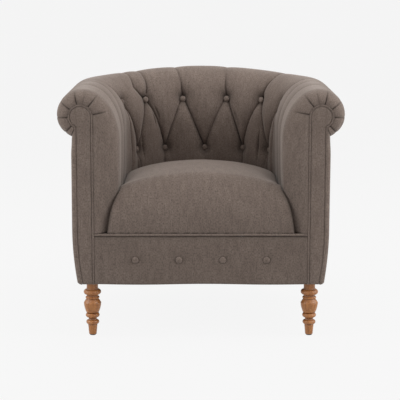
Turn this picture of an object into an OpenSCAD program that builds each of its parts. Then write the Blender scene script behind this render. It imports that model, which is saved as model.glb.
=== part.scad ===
// Tub chair: rolled arms that run round into a deep-buttoned back, tight sprung seat, turned front legs.
// Millimetres. Origin on the floor under the middle of the chair, +Z up, the seat opens towards -Y.
// "left" is the -X side, as seen by someone who faces the chair.

/* [Overall] */
// Width over the rolled arms
overall_w = 830; // [760:5:900]
// Depth from the arm fronts to the back of the roll
overall_d = 770; // [720:5:840]
// Height of the arm roll at the front
arm_h = 724; // [700:2:770]
// How much higher the roll stands in the middle of the back
back_rise = 21; // [0:1:30]
// Height of the legs, floor to the underside of the frame
leg_h = 158; // [130:2:190]
// Height of the piping under the seat
welt_z = 304; // [290:1:320]
// Height of the seat crown
seat_h = 474; // [440:2:500]

/* [Wall plan] */
// Radius of the rear corners, on the centre line of the roll
corner_r = 250; // [220:5:280]
// Length of the straight arms from their fronts
arm_run = 425; // [390:5:440]
// Outer radius of the roll at the arms
roll_r = 76; // [68:1:82]
// Outer face of the wall, outwards from the centre line
wall_out = 34; // [28:1:40]
// How far the wall draws in towards its bottom edge
wall_taper = 14; // [6:1:18]
// Inside padding, inwards from the centre line
pad_in = 104; // [98:1:112]

/* [Arm fronts] */
// Width of the scroll head on the arm front
head_d = 66; // [58:1:72]
// Height of the centre of the scroll head
head_z = 647; // [636:1:656]
// Width of the straight part of the arm front
facing_w = 48; // [40:1:52]
// Set-back of the arm front from the outer face of the wall
facing_in = 13; // [10:1:16]
// Diameter of the piping round the arm fronts
piping_d = 6; // [4:0.5:7]

/* [Buttoned back] */
// Height of the upper row of buttons
row_high_z = 643; // [635:1:655]
// Height of the lower row of buttons
row_low_z = 484; // [470:1:500]
// Spacing of the upper row along the centre line
row_high_pitch = 159; // [150:1:164]
// Spacing of the lower row along the centre line
row_low_pitch = 146; // [136:1:150]
// Sideways offset of the buttoning
tuft_shift = 14; // [-20:1:20]
// Depth of the fold between two buttons
fold_depth = 15; // [8:1:20]
// Diameter of the covered buttons
button_d = 20; // [16:1:22]
// Thickness of the covered buttons
button_t = 6; // [5:0.5:8]

/* [Seat] */
// Half width of the seat at its front edge
seat_front_w = 272; // [262:1:280]
// Depth of the rounded front of the seat
nose_d = 90; // [75:5:120]
// Diameter of the piping under the seat
welt_d = 8; // [6:0.5:9]
// Number of seat springs
spring_n = 5; // [4:1:6]
// Width over a seat spring
spring_w = 46; // [40:1:52]
// Thickness of the spring wire
wire_d = 3.6; // [3:0.2:4.2]

/* [Front border] */
// Spacing of the border buttons
border_pitch = 127; // [110:1:135]
// Height of the border buttons
border_button_z = 230; // [215:1:245]

/* [Frame] */
// Thickness of the wooden members
wood_t = 35; // [28:1:36]
// Height of the base rails
rail_h = 130; // [110:1:131]
// Height of the arm and back top rails
top_rail_h = 42; // [34:1:50]
// Thickness of the scroll boards behind the arm fronts
board_t = 40; // [32:1:44]
// Diameter of the frame dowels
dowel_d = 8; // [6:1:10]

/* [Legs] */
// Distance of the front legs from the middle
leg_x = 318; // [308:1:322]
// Distance of the front legs behind the arm fronts
leg_set = 35; // [32:1:38]
// Largest diameter of the turned legs
leg_d = 51; // [44:1:54]
// Distance of the back legs from the middle, at the top
rear_leg_x = 180; // [150:5:195]
// How far the back legs rake backwards
rake = 62; // [30:2:70]
// How far the back legs splay sideways
splay = 14; // [0:1:24]
// Width of the square back legs at the top
rear_leg_w = 42; // [36:1:46]
// Diameter of the leg bolts
bolt_d = 8; // [6:1:10]

/* [Hidden] */

// Colours
cloth = "#6f645b";
piping_cloth = "#665b52";
beech = "#dcc09a";
oak = "#b67a45";
foam = "#efe6c8";
jute = "#b39a6e";
steel = "#8d9094";
black_cloth = "#2b2a29";
felt = "#d8d5cd";
nylon = "#3a3a3a";

// Clearances
soft_gap = 0.5;
fit_gap = 0.3;
seam_gap = 0.8;
overrun = 2;

// Fineness
round_fn = 72;
small_fn = 32;

// Thin goods
cover_t = 3;
webbing_t = 1.5;
hessian_t = 1.5;
dust_t = 1.2;
felt_min = 2;
roll_pad_t = 19;
plate_t = 2.5;
plate_over = 4;
glide_h = 3;
glide_d = 17;

// Plan of the centre line: straight arms, round corners, bowed back
half_w = overall_w / 2 - roll_r;
y_front = -overall_d / 2;
roll_grow = back_rise / 2;
y_back = overall_d / 2 - roll_r - roll_grow;
least_bow = 14;
bay_d = min(y_back - y_front - arm_run, half_w);
y_arm = y_back - bay_d;
arm_l = y_arm - y_front;
corner = min(corner_r, bay_d - least_bow);
corner_x = half_w - corner;
bow_slack = bay_d - corner;
bow_drop = (pow(corner_x, 2) - pow(bow_slack, 2)) / (2 * bow_slack);
back_r = y_back - y_arm + bow_drop;
back_y = y_back - back_r;
back_a = atan2(corner_x, bow_drop);
corner_a = 90 - back_a;
rad = PI / 180;
s_back = back_r * back_a * rad;
s_corner = s_back + corner * corner_a * rad;
s_front = s_corner + arm_l;

// Heights
roll_z = arm_h - roll_r;
swell_z = roll_z - roll_r + fit_gap;
rail_z = leg_h + cover_t - fit_gap;
rail_top = rail_z + rail_h;
pad_z = welt_z + welt_d / 2 + fit_gap;
core_r = roll_r - roll_pad_t;
core_z = roll_z - core_r;
top_rail_z = core_z - fit_gap - top_rail_h;
border_top = welt_z - welt_d / 2 - fit_gap;
seam_z = min(roll_end(0), roll_end(roll_grow)) - soft_gap;

// Layers of the wall, outwards from the centre line
wood_out = wall_out - wall_taper - cover_t - fit_gap;
wood_in = wood_out - wood_t;
web_in = wood_in - fit_gap - webbing_t;
foam_out = web_in - fit_gap;
foam_in = 60;
foam_top = core_z - felt_min;

// Arm front outline
head_r = head_d / 2;
piping_r = piping_d / 2;
edge_gap = piping_r + fit_gap;
facing_out = wall_out - facing_in;
facing_n = facing_out - facing_w;
head_n = facing_n + head_r;
head_low = seam_z + head_r + edge_gap;
head_c = min(max(head_z, head_low), roll_z);
board_set = piping_d + fit_gap;
board_end = board_set + board_t;
upright_above_welt = 16;
taper_z = welt_z + upright_above_welt;
taper_run = taper_z - leg_h;
taper_r = (pow(taper_run, 2) + pow(wall_taper, 2)) / (2 * wall_taper);
taper_steps = 4;

// Rounded front of the padded arms
bull_pad = 74;
bull_roll = 46;
bull_side = facing_in;
cap_set = 1;

// Buttoning
row_high = min(row_high_z, arm_h - 2 * button_d);
belly = 9;
tuft_n = 66;
least_pit_r = 30;
pit_face_r = 22;
pit_r = max(least_pit_r, pit_face_r * corner / max(corner - tuft_n, pit_face_r));
fold_r = 13;
crease_r = 16;
crease_depth = 12;
flute_depth = 9;
flute_shares = [0.47, 0.776];
cells = 8;
low_rows = 4;
mid_rows = 4;
swell_rows = 4;
roll_rows = 5;
core_steps = 8;
core_wrap = 240;
back_cuts = 36;
edge_columns = 2.5;
button_lift = 10.5;
shank_d = 4;
shank_gap = 2.4;
high_tilt = 15;
high_columns = [-2.5, -1.5, -0.5, 0.5, 1.5, 2.5];
low_columns = [-2, -1, 0, 1, 2];

// Seat
seat_wall = 16;
seat_slack = 5;
seat_clear = 8;
seat_set = 2;
seat_y = y_front + seat_set;
seat_foam_h = 56;
seat_foam_top = pad_z + seat_foam_h;
seat_foam_set = 34;
seat_side_share = 0.18;
seat_back_share = 0.18;
seat_cells = 16;
seat_row_shares = [0, 0.01, 0.035, 0.075, 0.13, 0.2, 0.3, 0.45, 0.62, 0.8, 0.92, 1];
clip_l = 18;
clip_w = 12;
clip_base = 2;
clip_lip = 3;
clip_h = clip_base + wire_d + clip_lip;
hessian_z = rail_top + clip_h + fit_gap;
spring_pitch = 34;
spring_span_share = 0.66;
spring_lap = wire_d / 3;
spring_z = rail_top + clip_base;

// Front border
border_t = 5;
border_set = 4.5;
dimple_depth = 2.2;
dimple_r = 22;
border_cells = 44;
border_rows = 10;
border_buttons_n = 4;
border_button_t = 3.6;
border_button_lift = 1;

// Legs
bolt_up = 42;
bolt_down = 38;
plate_r = 29;
rear_leg_n = wood_out - wood_t / 2;
rear_plate_r = min(plate_r, wood_out - rear_leg_n - fit_gap);
plate_rs = [plate_r, plate_r, rear_plate_r, rear_plate_r];
leg_top = rail_z - plate_t - 2 * fit_gap;
toe_w = 26;
rear_leg_y = path(plan_s(rear_leg_x), rear_leg_n)[1];
dowel_l = 40;
dowel_shares = [0.3, 0.72];
block_leg = 62;
stile_w = 40;

// Plan position on the wall: s along the centre line from the middle of the back, n outwards from it
function path(s, n) =
    let (d = abs(s), side = s < 0 ? -1 : 1)
    d <= s_back ?
        let (a = d / back_r / rad) [side * (back_r + n) * sin(a), back_y + (back_r + n) * cos(a)]
    : d <= s_corner ?
        let (a = back_a + (d - s_back) / corner / rad)
        [side * (corner_x + (corner + n) * sin(a)), y_arm + (corner + n) * cos(a)]
    : [side * (half_w + n), y_arm - (d - s_corner)];

// Direction the wall faces outwards, in degrees clockwise from +Y
function heading(s) =
    let (d = abs(s), side = s < 0 ? -1 : 1)
    side * (d <= s_back ? d / back_r / rad
        : d <= s_corner ? back_a + (d - s_back) / corner / rad : 90);

// Distance along the centre line at which the back reaches a given x
function plan_s(x) = back_r * asin(x / (back_r + rear_leg_n)) * rad;

// Quarter-round growth from 0 at the edge to 1 at the given length
function bull(u, length) = u >= length ? 1 : sqrt(1 - pow(1 - max(u, 0) / length, 2));

// Growth of the roll towards the middle of the back
function growth(s) =
    let (reach = edge_columns * row_high_pitch - abs(tuft_shift))
    abs(s) >= reach ? 0 : roll_grow * pow(cos(90 * abs(s) / reach), 2);

// Height at which the roll ends on the outer face of the wall
function roll_end(g) = roll_z + g - sqrt(pow(roll_r + g, 2) - pow(wall_out, 2));

// Outer face of the wall at a height: upright, then drawn in on a long arc
function face_out(z) = wall_out - taper_r + sqrt(pow(taper_r, 2) - pow(max(0, taper_z - z), 2));

// Smooth bump of width r at a distance d
function bump(d, r) = exp(-pow(d / r, 2));

// Column spacing at a height, wider at the upper row than at the lower one
function pitch(z) =
    let (share = min(1, max(0, (z - row_low_z) / (row_high - row_low_z))))
    row_low_pitch + (row_high_pitch - row_low_pitch) * share;

// Padded profile: inner face up to the swell, a quarter ellipse to the crest, the round roll behind it
function face_n(z, g) =
    z <= swell_z ? -pad_in + belly * pow((swell_z - z) / (swell_z - pad_z), 2)
    : -pad_in * sqrt(max(0, 1 - pow((z - swell_z) / (arm_h + 2 * g - swell_z), 2)));
profile_last = low_rows + mid_rows + swell_rows + roll_rows;
function profile(j, g) =
    j <= low_rows ? let (z = pad_z + (row_low_z - pad_z) * j / low_rows) [face_n(z, g), z]
    : j <= low_rows + mid_rows ?
        let (z = row_low_z + (row_high - row_low_z) * (j - low_rows) / mid_rows) [face_n(z, g), z]
    : j <= low_rows + mid_rows + swell_rows ?
        let (
            a = 90 * (j - low_rows - mid_rows) / swell_rows,
            z = row_high + (arm_h + 2 * g - row_high) * sin(a)
        )
        [face_n(z, g), z]
    : let (
        part = (j - low_rows - mid_rows - swell_rows) / roll_rows,
        a = 90 + (asin(wall_out / (roll_r + g)) - 180) * part
    )
        [(roll_r + g) * cos(a), roll_z + g + (roll_r + g) * sin(a)];

// How far buttons and folds pull the padding back, at column c and profile row j
function pull(c, j, g) =
    let (
        p = profile(j, g),
        z = p[1],
        half = abs(c - round(c)),
        to_low = half * pitch(z),
        to_high = (0.5 - half) * pitch(z),
        share = (j - low_rows) / mid_rows,
        over = (j - low_rows - mid_rows) / swell_rows,
        high_n = profile(low_rows + mid_rows, g)[0]
    )
    j <= low_rows ?
        max((-p[0] - tuft_n) * bump(norm([to_low, z - row_low_z]), pit_r),
            fold_depth * bump(to_low, fold_r))
    : j <= low_rows + mid_rows ?
        max((-p[0] - tuft_n) * bump(norm([to_low, z - row_low_z]), pit_r),
            (-p[0] - tuft_n) * bump(norm([to_high, z - row_high]), pit_r),
            fold_depth * bump(abs(half - share / 2) * pitch(z), fold_r))
    : max((-high_n - tuft_n) * bump(norm([to_high, z - row_high, p[0] - high_n]), pit_r),
        crease_depth * max(0, 1 - over / 1.5) * bump(to_high, crease_r));

// Point of a wall section, pulled back along the section by d
function section_point(s, p, d) =
    let (away = p[1] <= row_high ? [1, 0] : let (v = [p[0], p[1] - row_high]) -v / norm(v))
    let (q = [p[0] + away[0] * d, p[1] + away[1] * d], xy = path(s, q[0]))
    [xy[0], xy[1], q[1]];

// Inner side of the covers: foam face, then round the roll core
core_grow = 1 / cos(core_wrap / 2 / core_steps);
function core_side(k) =
    k == 0 ? [-foam_in - soft_gap, pad_z]
    : k == 1 ? [-foam_in - soft_gap, foam_top]
    : let (a = 180 - core_wrap * (k - 2) / core_steps, r = (core_r + soft_gap) * core_grow)
        [r * cos(a), roll_z + r * sin(a)];

// Inner side of the arm covers where they close round the scroll board
function board_side(k) =
    k == 0 ? [facing_n - edge_gap, pad_z]
    : k == 1 ? [facing_n - edge_gap, (pad_z + head_c) / 2]
    : let (a = 180 - core_wrap * (k - 2) / core_steps, r = (head_r + edge_gap) * core_grow)
        [head_n + r * cos(a), head_c + r * sin(a)];

// Outline of the arm front that each profile row closes onto
function front_edge(j) =
    let (p = profile(j, 0), r = head_r + edge_gap)
    p[1] <= swell_z && j <= low_rows + mid_rows ?
        [facing_n - edge_gap, pad_z + (p[1] - pad_z) * (head_c - pad_z) / (swell_z - pad_z)]
    : j <= low_rows + mid_rows + swell_rows ?
        let (a = 180 - atan2(p[1] - swell_z, -p[0] * (arm_h - swell_z) / pad_in))
        [head_n + r * cos(a), head_c + r * sin(a)]
    : let (a = atan2(p[1] - roll_z, p[0])) [head_n + r * cos(a), head_c + r * sin(a)];

// Closed solid between an outer grid and an inner grid that share their stations; where a half column of
// folds is given, the outer cells are split along the folds, one way and the other in turn
function flat(rows) = [for (row = rows) for (p = row) p];
module skin(outer, inner, half_column = 0) {
    last = len(outer) - 1;
    m = len(outer[0]) - 1;
    k = len(inner[0]) - 1;
    base = (last + 1) * (m + 1);
    function o(i, j) = i * (m + 1) + j;
    function n(i, j) = base + i * (k + 1) + j;
    function near(j) = max(min(1, floor(j / low_rows)), j - (m - k));
    function turned(i) = half_column > 0 && floor(i / half_column) % 2 == 0;
    outside = [for (i = [0 : last - 1]) for (j = [0 : m - 1]) each turned(i) ?
        [[o(i, j), o(i, j + 1), o(i + 1, j)], [o(i + 1, j), o(i, j + 1), o(i + 1, j + 1)]]
        : [[o(i, j), o(i + 1, j + 1), o(i + 1, j)], [o(i, j), o(i, j + 1), o(i + 1, j + 1)]]];
    inside = [for (i = [0 : last - 1]) for (j = [0 : k - 1])
        each [[n(i, j), n(i + 1, j), n(i + 1, j + 1)], [n(i, j), n(i + 1, j + 1), n(i, j + 1)]]];
    edges = [for (i = [0 : last - 1]) each [
        [o(i, 0), o(i + 1, 0), n(i + 1, 0)], [o(i, 0), n(i + 1, 0), n(i, 0)],
        [o(i, m), n(i + 1, k), o(i + 1, m)], [o(i, m), n(i, k), n(i + 1, k)]]];
    ends = [for (j = [0 : m - 1]) each [
        [o(0, j), n(0, near(j)), o(0, j + 1)], [o(last, j), o(last, j + 1), n(last, near(j))]]];
    steps = [for (j = [0 : m - 1]) if (near(j + 1) > near(j)) each [
        [o(0, j + 1), n(0, near(j)), n(0, near(j + 1))],
        [o(last, j + 1), n(last, near(j + 1)), n(last, near(j))]]];
    polyhedron(concat(flat(outer), flat(inner)), concat(outside, inside, edges, ends, steps));
}

// Closed tube through rings of points
module tube(rings) {
    n = len(rings[0]);
    last = len(rings) - 1;
    walls = [for (i = [0 : last - 1]) for (k = [0 : n - 1])
        let (a = i * n + k, b = i * n + (k + 1) % n)
        each [[a, b + n, b], [a, a + n, b + n]]];
    ends = [for (k = [1 : n - 2]) each [[0, k, k + 1], [last * n, last * n + k + 1, last * n + k]]];
    polyhedron(flat(rings), concat(walls, ends));
}

// Stations round both corners and the bowed back, from the right arm to the left one
back_ss = [for (i = [0 : back_cuts]) s_corner * (1 - 2 * i / back_cuts)];

// Plan region inside the wall line at offset n, cut off at the front line y
module plan_fill(n, y) polygon(concat([[-half_w - n, y], [half_w + n, y]], [for (s = back_ss) path(s, n)]));

// Carries a profile drawn in (n, z) along one straight arm, from set-back u0 to u1 behind the arm front
module along_arm(side, u0, u1) {
    translate([0, y_front + u1, 0]) rotate([90, 0, 0]) linear_extrude(height = u1 - u0)
        mirror([side < 0 ? 1 : 0, 0]) translate([half_w, 0]) children();
}

// Wall of solid between an outer and an inner row of (n, z) points, carried round both corners and the back
module round_back(outer, inner) {
    function grid(row) = [for (s = back_ss) [for (p = row) let (xy = path(s, p[0])) [xy[0], xy[1], p[1]]]];
    skin(grid(outer), grid(inner));
}
module box_round_back(n0, n1, z0, z1) round_back([[n1, z0], [n1, z1]], [[n0, z0], [n0, z1]]);

// Places a child, drawn facing -Y, on the wall at s and n
module on_wall(s, n, z) {
    xy = path(s, n);
    translate([xy[0], xy[1], z]) rotate([0, 0, -heading(s)]) children();
}

// Profile boxes in (n, z)
module box_profile(n0, n1, z0, z1) translate([n0, z0]) square([n1 - n0, z1 - z0]);

// Base frame
module rail_profile() box_profile(wood_in, wood_out, rail_z, rail_top);
module dowels(grow) {
    h = dowel_l + 2 * grow;
    d = dowel_d + 2 * grow;
    for (side = [-1, 1], share = dowel_shares) {
        z = rail_z + rail_h * share;
        translate([side * (half_w + facing_n - piping_r), y_front + board_set + board_t / 3, z])
            rotate([0, 90, 0]) cylinder(h = h, d = d, center = true, $fn = small_fn);
        translate([side * (half_w + (wood_in + wood_out) / 2), y_front + board_end, z])
            rotate([90, 0, 0]) cylinder(h = h, d = d, center = true, $fn = small_fn);
    }
}
module frame_dowels() color(beech) dowels(0);

module front_rail() {
    half = half_w + facing_n - piping_r - fit_gap;
    color(beech) difference() {
        translate([-half, y_front + board_set, rail_z]) cube([2 * half, wood_t, rail_h]);
        dowels(fit_gap);
        front_bolts(fit_gap);
    }
}
module side_rail(side) {
    color(beech) difference() {
        along_arm(side, board_end + fit_gap, arm_l - fit_gap) rail_profile();
        dowels(fit_gap);
        front_bolts(fit_gap);
    }
}
module left_side_rail() side_rail(-1);
module right_side_rail() side_rail(1);
module back_rail() {
    color(beech) difference() {
        box_round_back(wood_in, wood_out, rail_z, rail_top);
        rear_bolts(fit_gap);
    }
}
module corner_blocks() {
    inner = half_w + facing_n - piping_r - fit_gap;
    outer = half_w + wood_in - fit_gap;
    front = y_front + board_set + wood_t + fit_gap;
    board = y_front + board_end + fit_gap;
    color(beech) difference() {
        for (side = [0, 1]) mirror([side, 0, 0]) translate([0, 0, rail_z + rail_h / 4])
            linear_extrude(height = rail_h / 2)
                polygon([[inner - block_leg, front], [inner, front], [inner, board], [outer, board],
                    [outer, front + block_leg]]);
        front_bolts(fit_gap);
    }
}

// Scroll boards: the front posts of the arms, with the scroll head on top
module scroll(grow, bottom) {
    edge = [for (i = [0 : taper_steps]) let (z = bottom + (taper_z - bottom) * i / taper_steps)
        [face_out(z) - facing_in + grow, z]];
    translate([head_n, head_c]) circle(r = head_r + grow, $fn = round_fn);
    polygon(concat([[facing_n - grow, bottom]], edge,
        [[facing_out + grow, head_c], [facing_n - grow, head_c]]));
}
module arm_board(side) {
    color(beech) difference() {
        along_arm(side, board_set, board_end) scroll(piping_r, rail_z);
        dowels(fit_gap);
        front_bolts(fit_gap);
    }
}
module left_arm_board() arm_board(-1);
module right_arm_board() arm_board(1);

// Uprights between the base rails and the top rails
module stiles(side) {
    low = rail_top + fit_gap;
    between = (spring_xs[spring_n - 1] + spring_xs[spring_n - 2]) / 2;
    color(beech) for (s = [plan_s(between), s_corner + stile_w])
        on_wall(side * s, (wood_in + wood_out) / 2, low)
            translate([-stile_w / 2, -wood_t / 2 + 2 * fit_gap, 0])
                cube([stile_w, wood_t - 5 * fit_gap, top_rail_z - fit_gap - low]);
}
module left_stiles() stiles(-1);
module right_stiles() stiles(1);

// Top rails under the roll
module top_rail_profile() box_profile(wood_in, wood_out, top_rail_z, top_rail_z + top_rail_h);
module arm_rail(side) color(beech) along_arm(side, board_end + fit_gap, arm_l - fit_gap) top_rail_profile();
module left_arm_rail() arm_rail(-1);
module right_arm_rail() arm_rail(1);
module crest_rail()
    color(beech) box_round_back(wood_in, wood_out, top_rail_z, top_rail_z + top_rail_h);

// Webbing on the inner side of the frame
pad_low = hessian_z + hessian_t + fit_gap;
module web_profile() box_profile(web_in, wood_in - fit_gap, pad_low, top_rail_z + top_rail_h);
web_set = board_end + block_leg + fit_gap;
module arm_webbing(side) color(jute) along_arm(side, web_set, arm_l - fit_gap) web_profile();
module left_arm_webbing() arm_webbing(-1);
module right_arm_webbing() arm_webbing(1);
module back_webbing()
    color(jute) box_round_back(web_in, wood_in - fit_gap, pad_low, top_rail_z + top_rail_h);

// Foam on the webbing
module foam_profile() box_profile(-foam_in, foam_out, pad_low, foam_top);
module arm_foam(side) color(foam) along_arm(side, web_set, arm_l - fit_gap) foam_profile();
module left_arm_foam() arm_foam(-1);
module right_arm_foam() arm_foam(1);
module back_foam() color(foam) box_round_back(-foam_in, foam_out, pad_low, foam_top);

// Twelve-sided cores inside the roll: straight on the arms, one sweep round the back
core_sides = 12;
module roll_core(side)
    color(foam) along_arm(side, board_end + bull_side, arm_l - fit_gap)
        translate([0, roll_z]) circle(r = core_r, $fn = core_sides);
module left_roll_core() roll_core(-1);
module right_roll_core() roll_core(1);
module back_roll_core() {
    n = core_sides;
    rings = [for (s = back_ss) [for (k = [0 : n - 1])
        let (a = -360 * k / n, xy = path(s, core_r * cos(a)))
        [xy[0], xy[1], roll_z + growth(s) + core_r * sin(a)]]];
    color(foam) tube(rings);
}

// Inside back, deep-buttoned, with its roll
module inside_back_cover() {
    half = edge_columns * cells;
    outer = [for (i = [-half : half]) [for (j = [0 : profile_last])
        let (c = i / cells, s0 = tuft_shift + c * row_high_pitch, g = growth(s0), p = profile(j, g))
        section_point(tuft_shift + c * pitch(p[1]), p, pull(c, j, g))]];
    inner = [for (i = [-half : half]) [for (k = [0 : core_steps + 2])
        let (c = i / cells, p = core_side(k), g = growth(tuft_shift + c * row_high_pitch))
        let (xy = path(tuft_shift + c * pitch(p[1]), p[0])) [xy[0], xy[1], p[1] + (k > 1 ? g : 0)]]];
    color(cloth) skin(outer, inner, cells / 2);
}

// Inside arm, smooth at its front and fluted towards the back
core_set = board_end + bull_side - overrun;
cap_shares = [0.04, 0.1, 0.19, 0.33, 0.49];
run_shares = [0.175, 0.26, 0.365, 0.47, 0.555, 0.625, 0.695, 0.776, 0.87, 0.965];
arm_sets = concat([cap_set], cap_shares * bull_pad, [core_set - bull_side / 2, core_set],
    run_shares * arm_l);
seam_shares = [0.8, 0.6, 0.42, 0.26, 0.12, 0];
function flute(u) =
    let (marks = [for (share = flute_shares) abs(u - share * arm_l)])
    flute_depth * bump(min(marks), 2 * fold_r);
function arm_point(side, u, j) =
    let (
        p = profile(j, 0),
        e = front_edge(j),
        share = min(1, max(0, (j - low_rows) / mid_rows)),
        f = bull(u, bull_pad + (bull_roll - bull_pad) * share),
        q = [e[0] + (p[0] - e[0]) * f, e[1] + (p[1] - e[1]) * f],
        fade = max(0, 1 - max(0, j - low_rows - mid_rows) / swell_rows)
    )
    section_point(side * (s_front - u), q, flute(u) * fade);
function toward_seam(side, z, share) =
    let (
        seam = side * tuft_shift + edge_columns * pitch(z) + seam_gap,
        last_s = s_front - arm_sets[len(arm_sets) - 1]
    )
    seam + (last_s - seam) * share;
module inside_arm_cover(side) {
    near = [for (u = arm_sets) [for (j = [0 : profile_last]) arm_point(side, u, j)]];
    far = [for (share = seam_shares) [for (j = [0 : profile_last])
        let (p = profile(j, 0), s = toward_seam(side, p[1], share))
        section_point(side * s, p, pull(edge_columns, j, 0) * bump(s - toward_seam(side, p[1], 0), pit_r))]];
    near_in = [for (u = arm_sets) [for (k = [0 : core_steps + 2])
        let (p = u < core_set ? board_side(k) : core_side(k), xy = path(side * (s_front - u), p[0]))
        [xy[0], xy[1], p[1]]]];
    far_in = [for (share = seam_shares) [for (k = [0 : core_steps + 2])
        let (p = core_side(k), xy = path(side * toward_seam(side, p[1], share), p[0])) [xy[0], xy[1], p[1]]]];
    outer = concat(near, far);
    inner = concat(near_in, far_in);
    last = len(outer) - 1;
    color(cloth)
        if (side < 0) skin(outer, inner);
        else skin([for (i = [0 : last]) outer[last - i]], [for (i = [0 : last]) inner[last - i]]);
}
module left_inside_arm_cover() inside_arm_cover(-1);
module right_inside_arm_cover() inside_arm_cover(1);

// Covered buttons
module button(d, t) {
    ball_r = (pow(d / 2, 2) + pow(t, 2)) / (2 * t);
    rotate([90, 0, 0]) rotate_extrude($fn = round_fn) intersection() {
        translate([0, t - ball_r]) circle(r = ball_r, $fn = 2 * round_fn);
        square([d, t]);
    }
}
module back_button(tilt) {
    rotate([-tilt, 0, 0]) button(button_d, button_t);
    translate([0, -button_t / 2, 0]) rotate([-90, 0, 0])
        cylinder(h = button_t / 2 + button_lift - shank_gap, d = shank_d, $fn = small_fn);
}
module back_buttons() {
    color(cloth) {
        for (c = high_columns) on_wall(tuft_shift + c * row_high_pitch, -tuft_n - button_lift, row_high)
            back_button(high_tilt);
        for (c = low_columns) on_wall(tuft_shift + c * row_low_pitch, -tuft_n - button_lift, row_low_z)
            back_button(0);
    }
}

// Padding and covers on the outer side
function taper_rows(bottom) =
    concat([for (i = [0 : taper_steps]) bottom + (taper_z - bottom) * i / taper_steps], [seam_z]);
padding_out = [for (z = taper_rows(rail_z)) [face_out(z) - cover_t - fit_gap, z]];
padding_in = [[wood_out + fit_gap, rail_z], [wood_out + fit_gap, seam_z]];
module outside_padding(side)
    color(felt) along_arm(side, board_end + bull_side, arm_l - fit_gap)
        polygon(concat(padding_out, [padding_in[1], padding_in[0]]));
module left_outside_padding() outside_padding(-1);
module right_outside_padding() outside_padding(1);
module back_outside_padding() color(felt) round_back(padding_out, padding_in);

side_shares = [0.2, 0.4, 0.65, 1];
side_sets = concat([cap_set], side_shares * bull_side, [board_end, core_set, arm_l - fit_gap]);
module outside_arm_cover(side) {
    rows = taper_rows(leg_h);
    outer = [for (u = side_sets) [for (z = rows)
        let (
            f = bull(u, bull_side),
            xy = path(side * (s_front - u), face_out(z) - (facing_in - edge_gap) * (1 - f))
        )
        [xy[0], xy[1], z]]];
    inner = [for (u = side_sets) [for (z = rows)
        let (
            board_n = face_out(z) - facing_in + edge_gap,
            n = u < board_end ? board_n
                : u == board_end ? max(board_n, wood_out + fit_gap) : face_out(z) - cover_t,
            xy = path(side * (s_front - u), n - (u == cap_set ? fit_gap : 0))
        )
        [xy[0], xy[1], z]]];
    last = len(outer) - 1;
    color(cloth)
        if (side > 0) skin(outer, inner);
        else skin([for (i = [0 : last]) outer[last - i]], [for (i = [0 : last]) inner[last - i]]);
}
module left_outside_arm_cover() outside_arm_cover(-1);
module right_outside_arm_cover() outside_arm_cover(1);
module outside_back_cover() {
    rows = taper_rows(leg_h);
    color(cloth) round_back([for (z = rows) [face_out(z), z]], [for (z = rows) [face_out(z) - cover_t, z]]);
}

// Padded fronts of the arms and the piping round them
module arm_facing(side) color(cloth) along_arm(side, 0, piping_d) scroll(-edge_gap, leg_h);
module left_arm_facing() arm_facing(-1);
module right_arm_facing() arm_facing(1);

// Piping round an arm front: a round section carried along the outline of the facing
piping_sides = 8;
head_steps = 14;
function piping_route() =
    let (
        end_a = -acos((facing_out - head_n) / head_r),
        low = [for (i = [taper_steps : -1 : 0]) let (z = leg_h + taper_run * i / taper_steps)
            [face_out(z) - facing_in, z]]
    )
    concat([[facing_n, leg_h]],
        [for (i = [0 : head_steps]) let (a = 180 + (end_a - 180) * i / head_steps)
            [head_n + head_r * cos(a), head_c + head_r * sin(a)]],
        low);
module facing_piping(side) {
    route = piping_route();
    last = len(route) - 1;
    n = piping_sides;
    function unit(v) = norm(v) > 0 ? v / norm(v) : v;
    rings = [for (i = [0 : last])
        let (
            q = route[i],
            d = unit(route[min(i + 1, last)] - q) + unit(q - route[max(i - 1, 0)]),
            across = piping_r * unit([d[1], -d[0]])
        )
        [for (k = [0 : n - 1]) let (a = 360 * k / n)
            [q[0] + across[0] * cos(a), piping_r * sin(a), q[1] + across[1] * cos(a)]]];
    color(piping_cloth) mirror([side < 0 ? 1 : 0, 0, 0])
        translate([half_w, y_front + piping_r, 0]) tube(rings);
}
module left_facing_piping() facing_piping(-1);
module right_facing_piping() facing_piping(1);

// Zigzag springs, clips and hessian under the seat
spring_step = 2 * (half_w + wood_in) * spring_span_share / (spring_n - 1);
spring_xs = [for (i = [0 : spring_n - 1]) (i - (spring_n - 1) / 2) * spring_step];
spring_y0 = y_front + board_set + wood_t / 2;
function spring_y1(x) =
    abs(x) < (back_r + rear_leg_n) * sin(back_a) ?
        back_y + sqrt(pow(back_r + rear_leg_n, 2) - pow(x, 2))
    : y_arm + sqrt(pow(corner + rear_leg_n, 2) - pow(abs(x) - corner_x, 2));
module spring(x) {
    length = spring_y1(x) - spring_y0;
    loops = 2 * round(length / spring_pitch / 2);
    step = length / loops;
    r = step / 2;
    bar = spring_w / 2 - r - wire_d / 2;
    translate([x, spring_y0, spring_z]) linear_extrude(height = wire_d) for (i = [0 : loops - 1]) {
        out = i % 2 == 0 ? 1 : -1;
        translate([out * bar, (i + 0.5) * step]) intersection() {
            difference() {
                circle(r = r + wire_d / 2, $fn = small_fn);
                circle(r = r - wire_d / 2, $fn = small_fn);
            }
            translate([out > 0 ? 0 : -2 * r, -2 * r]) square([2 * r, 4 * r]);
        }
        if (i > 0) translate([-bar - spring_lap, i * step - wire_d / 2])
            square([2 * (bar + spring_lap), wire_d]);
    }
    for (y = [spring_y0, spring_y0 + length])
        translate([x - bar - spring_lap, y - wire_d / 2, spring_z])
            cube([2 * (bar + spring_lap), wire_d, wire_d]);
}
module seat_springs() color(steel) for (x = spring_xs) spring(x);
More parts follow.
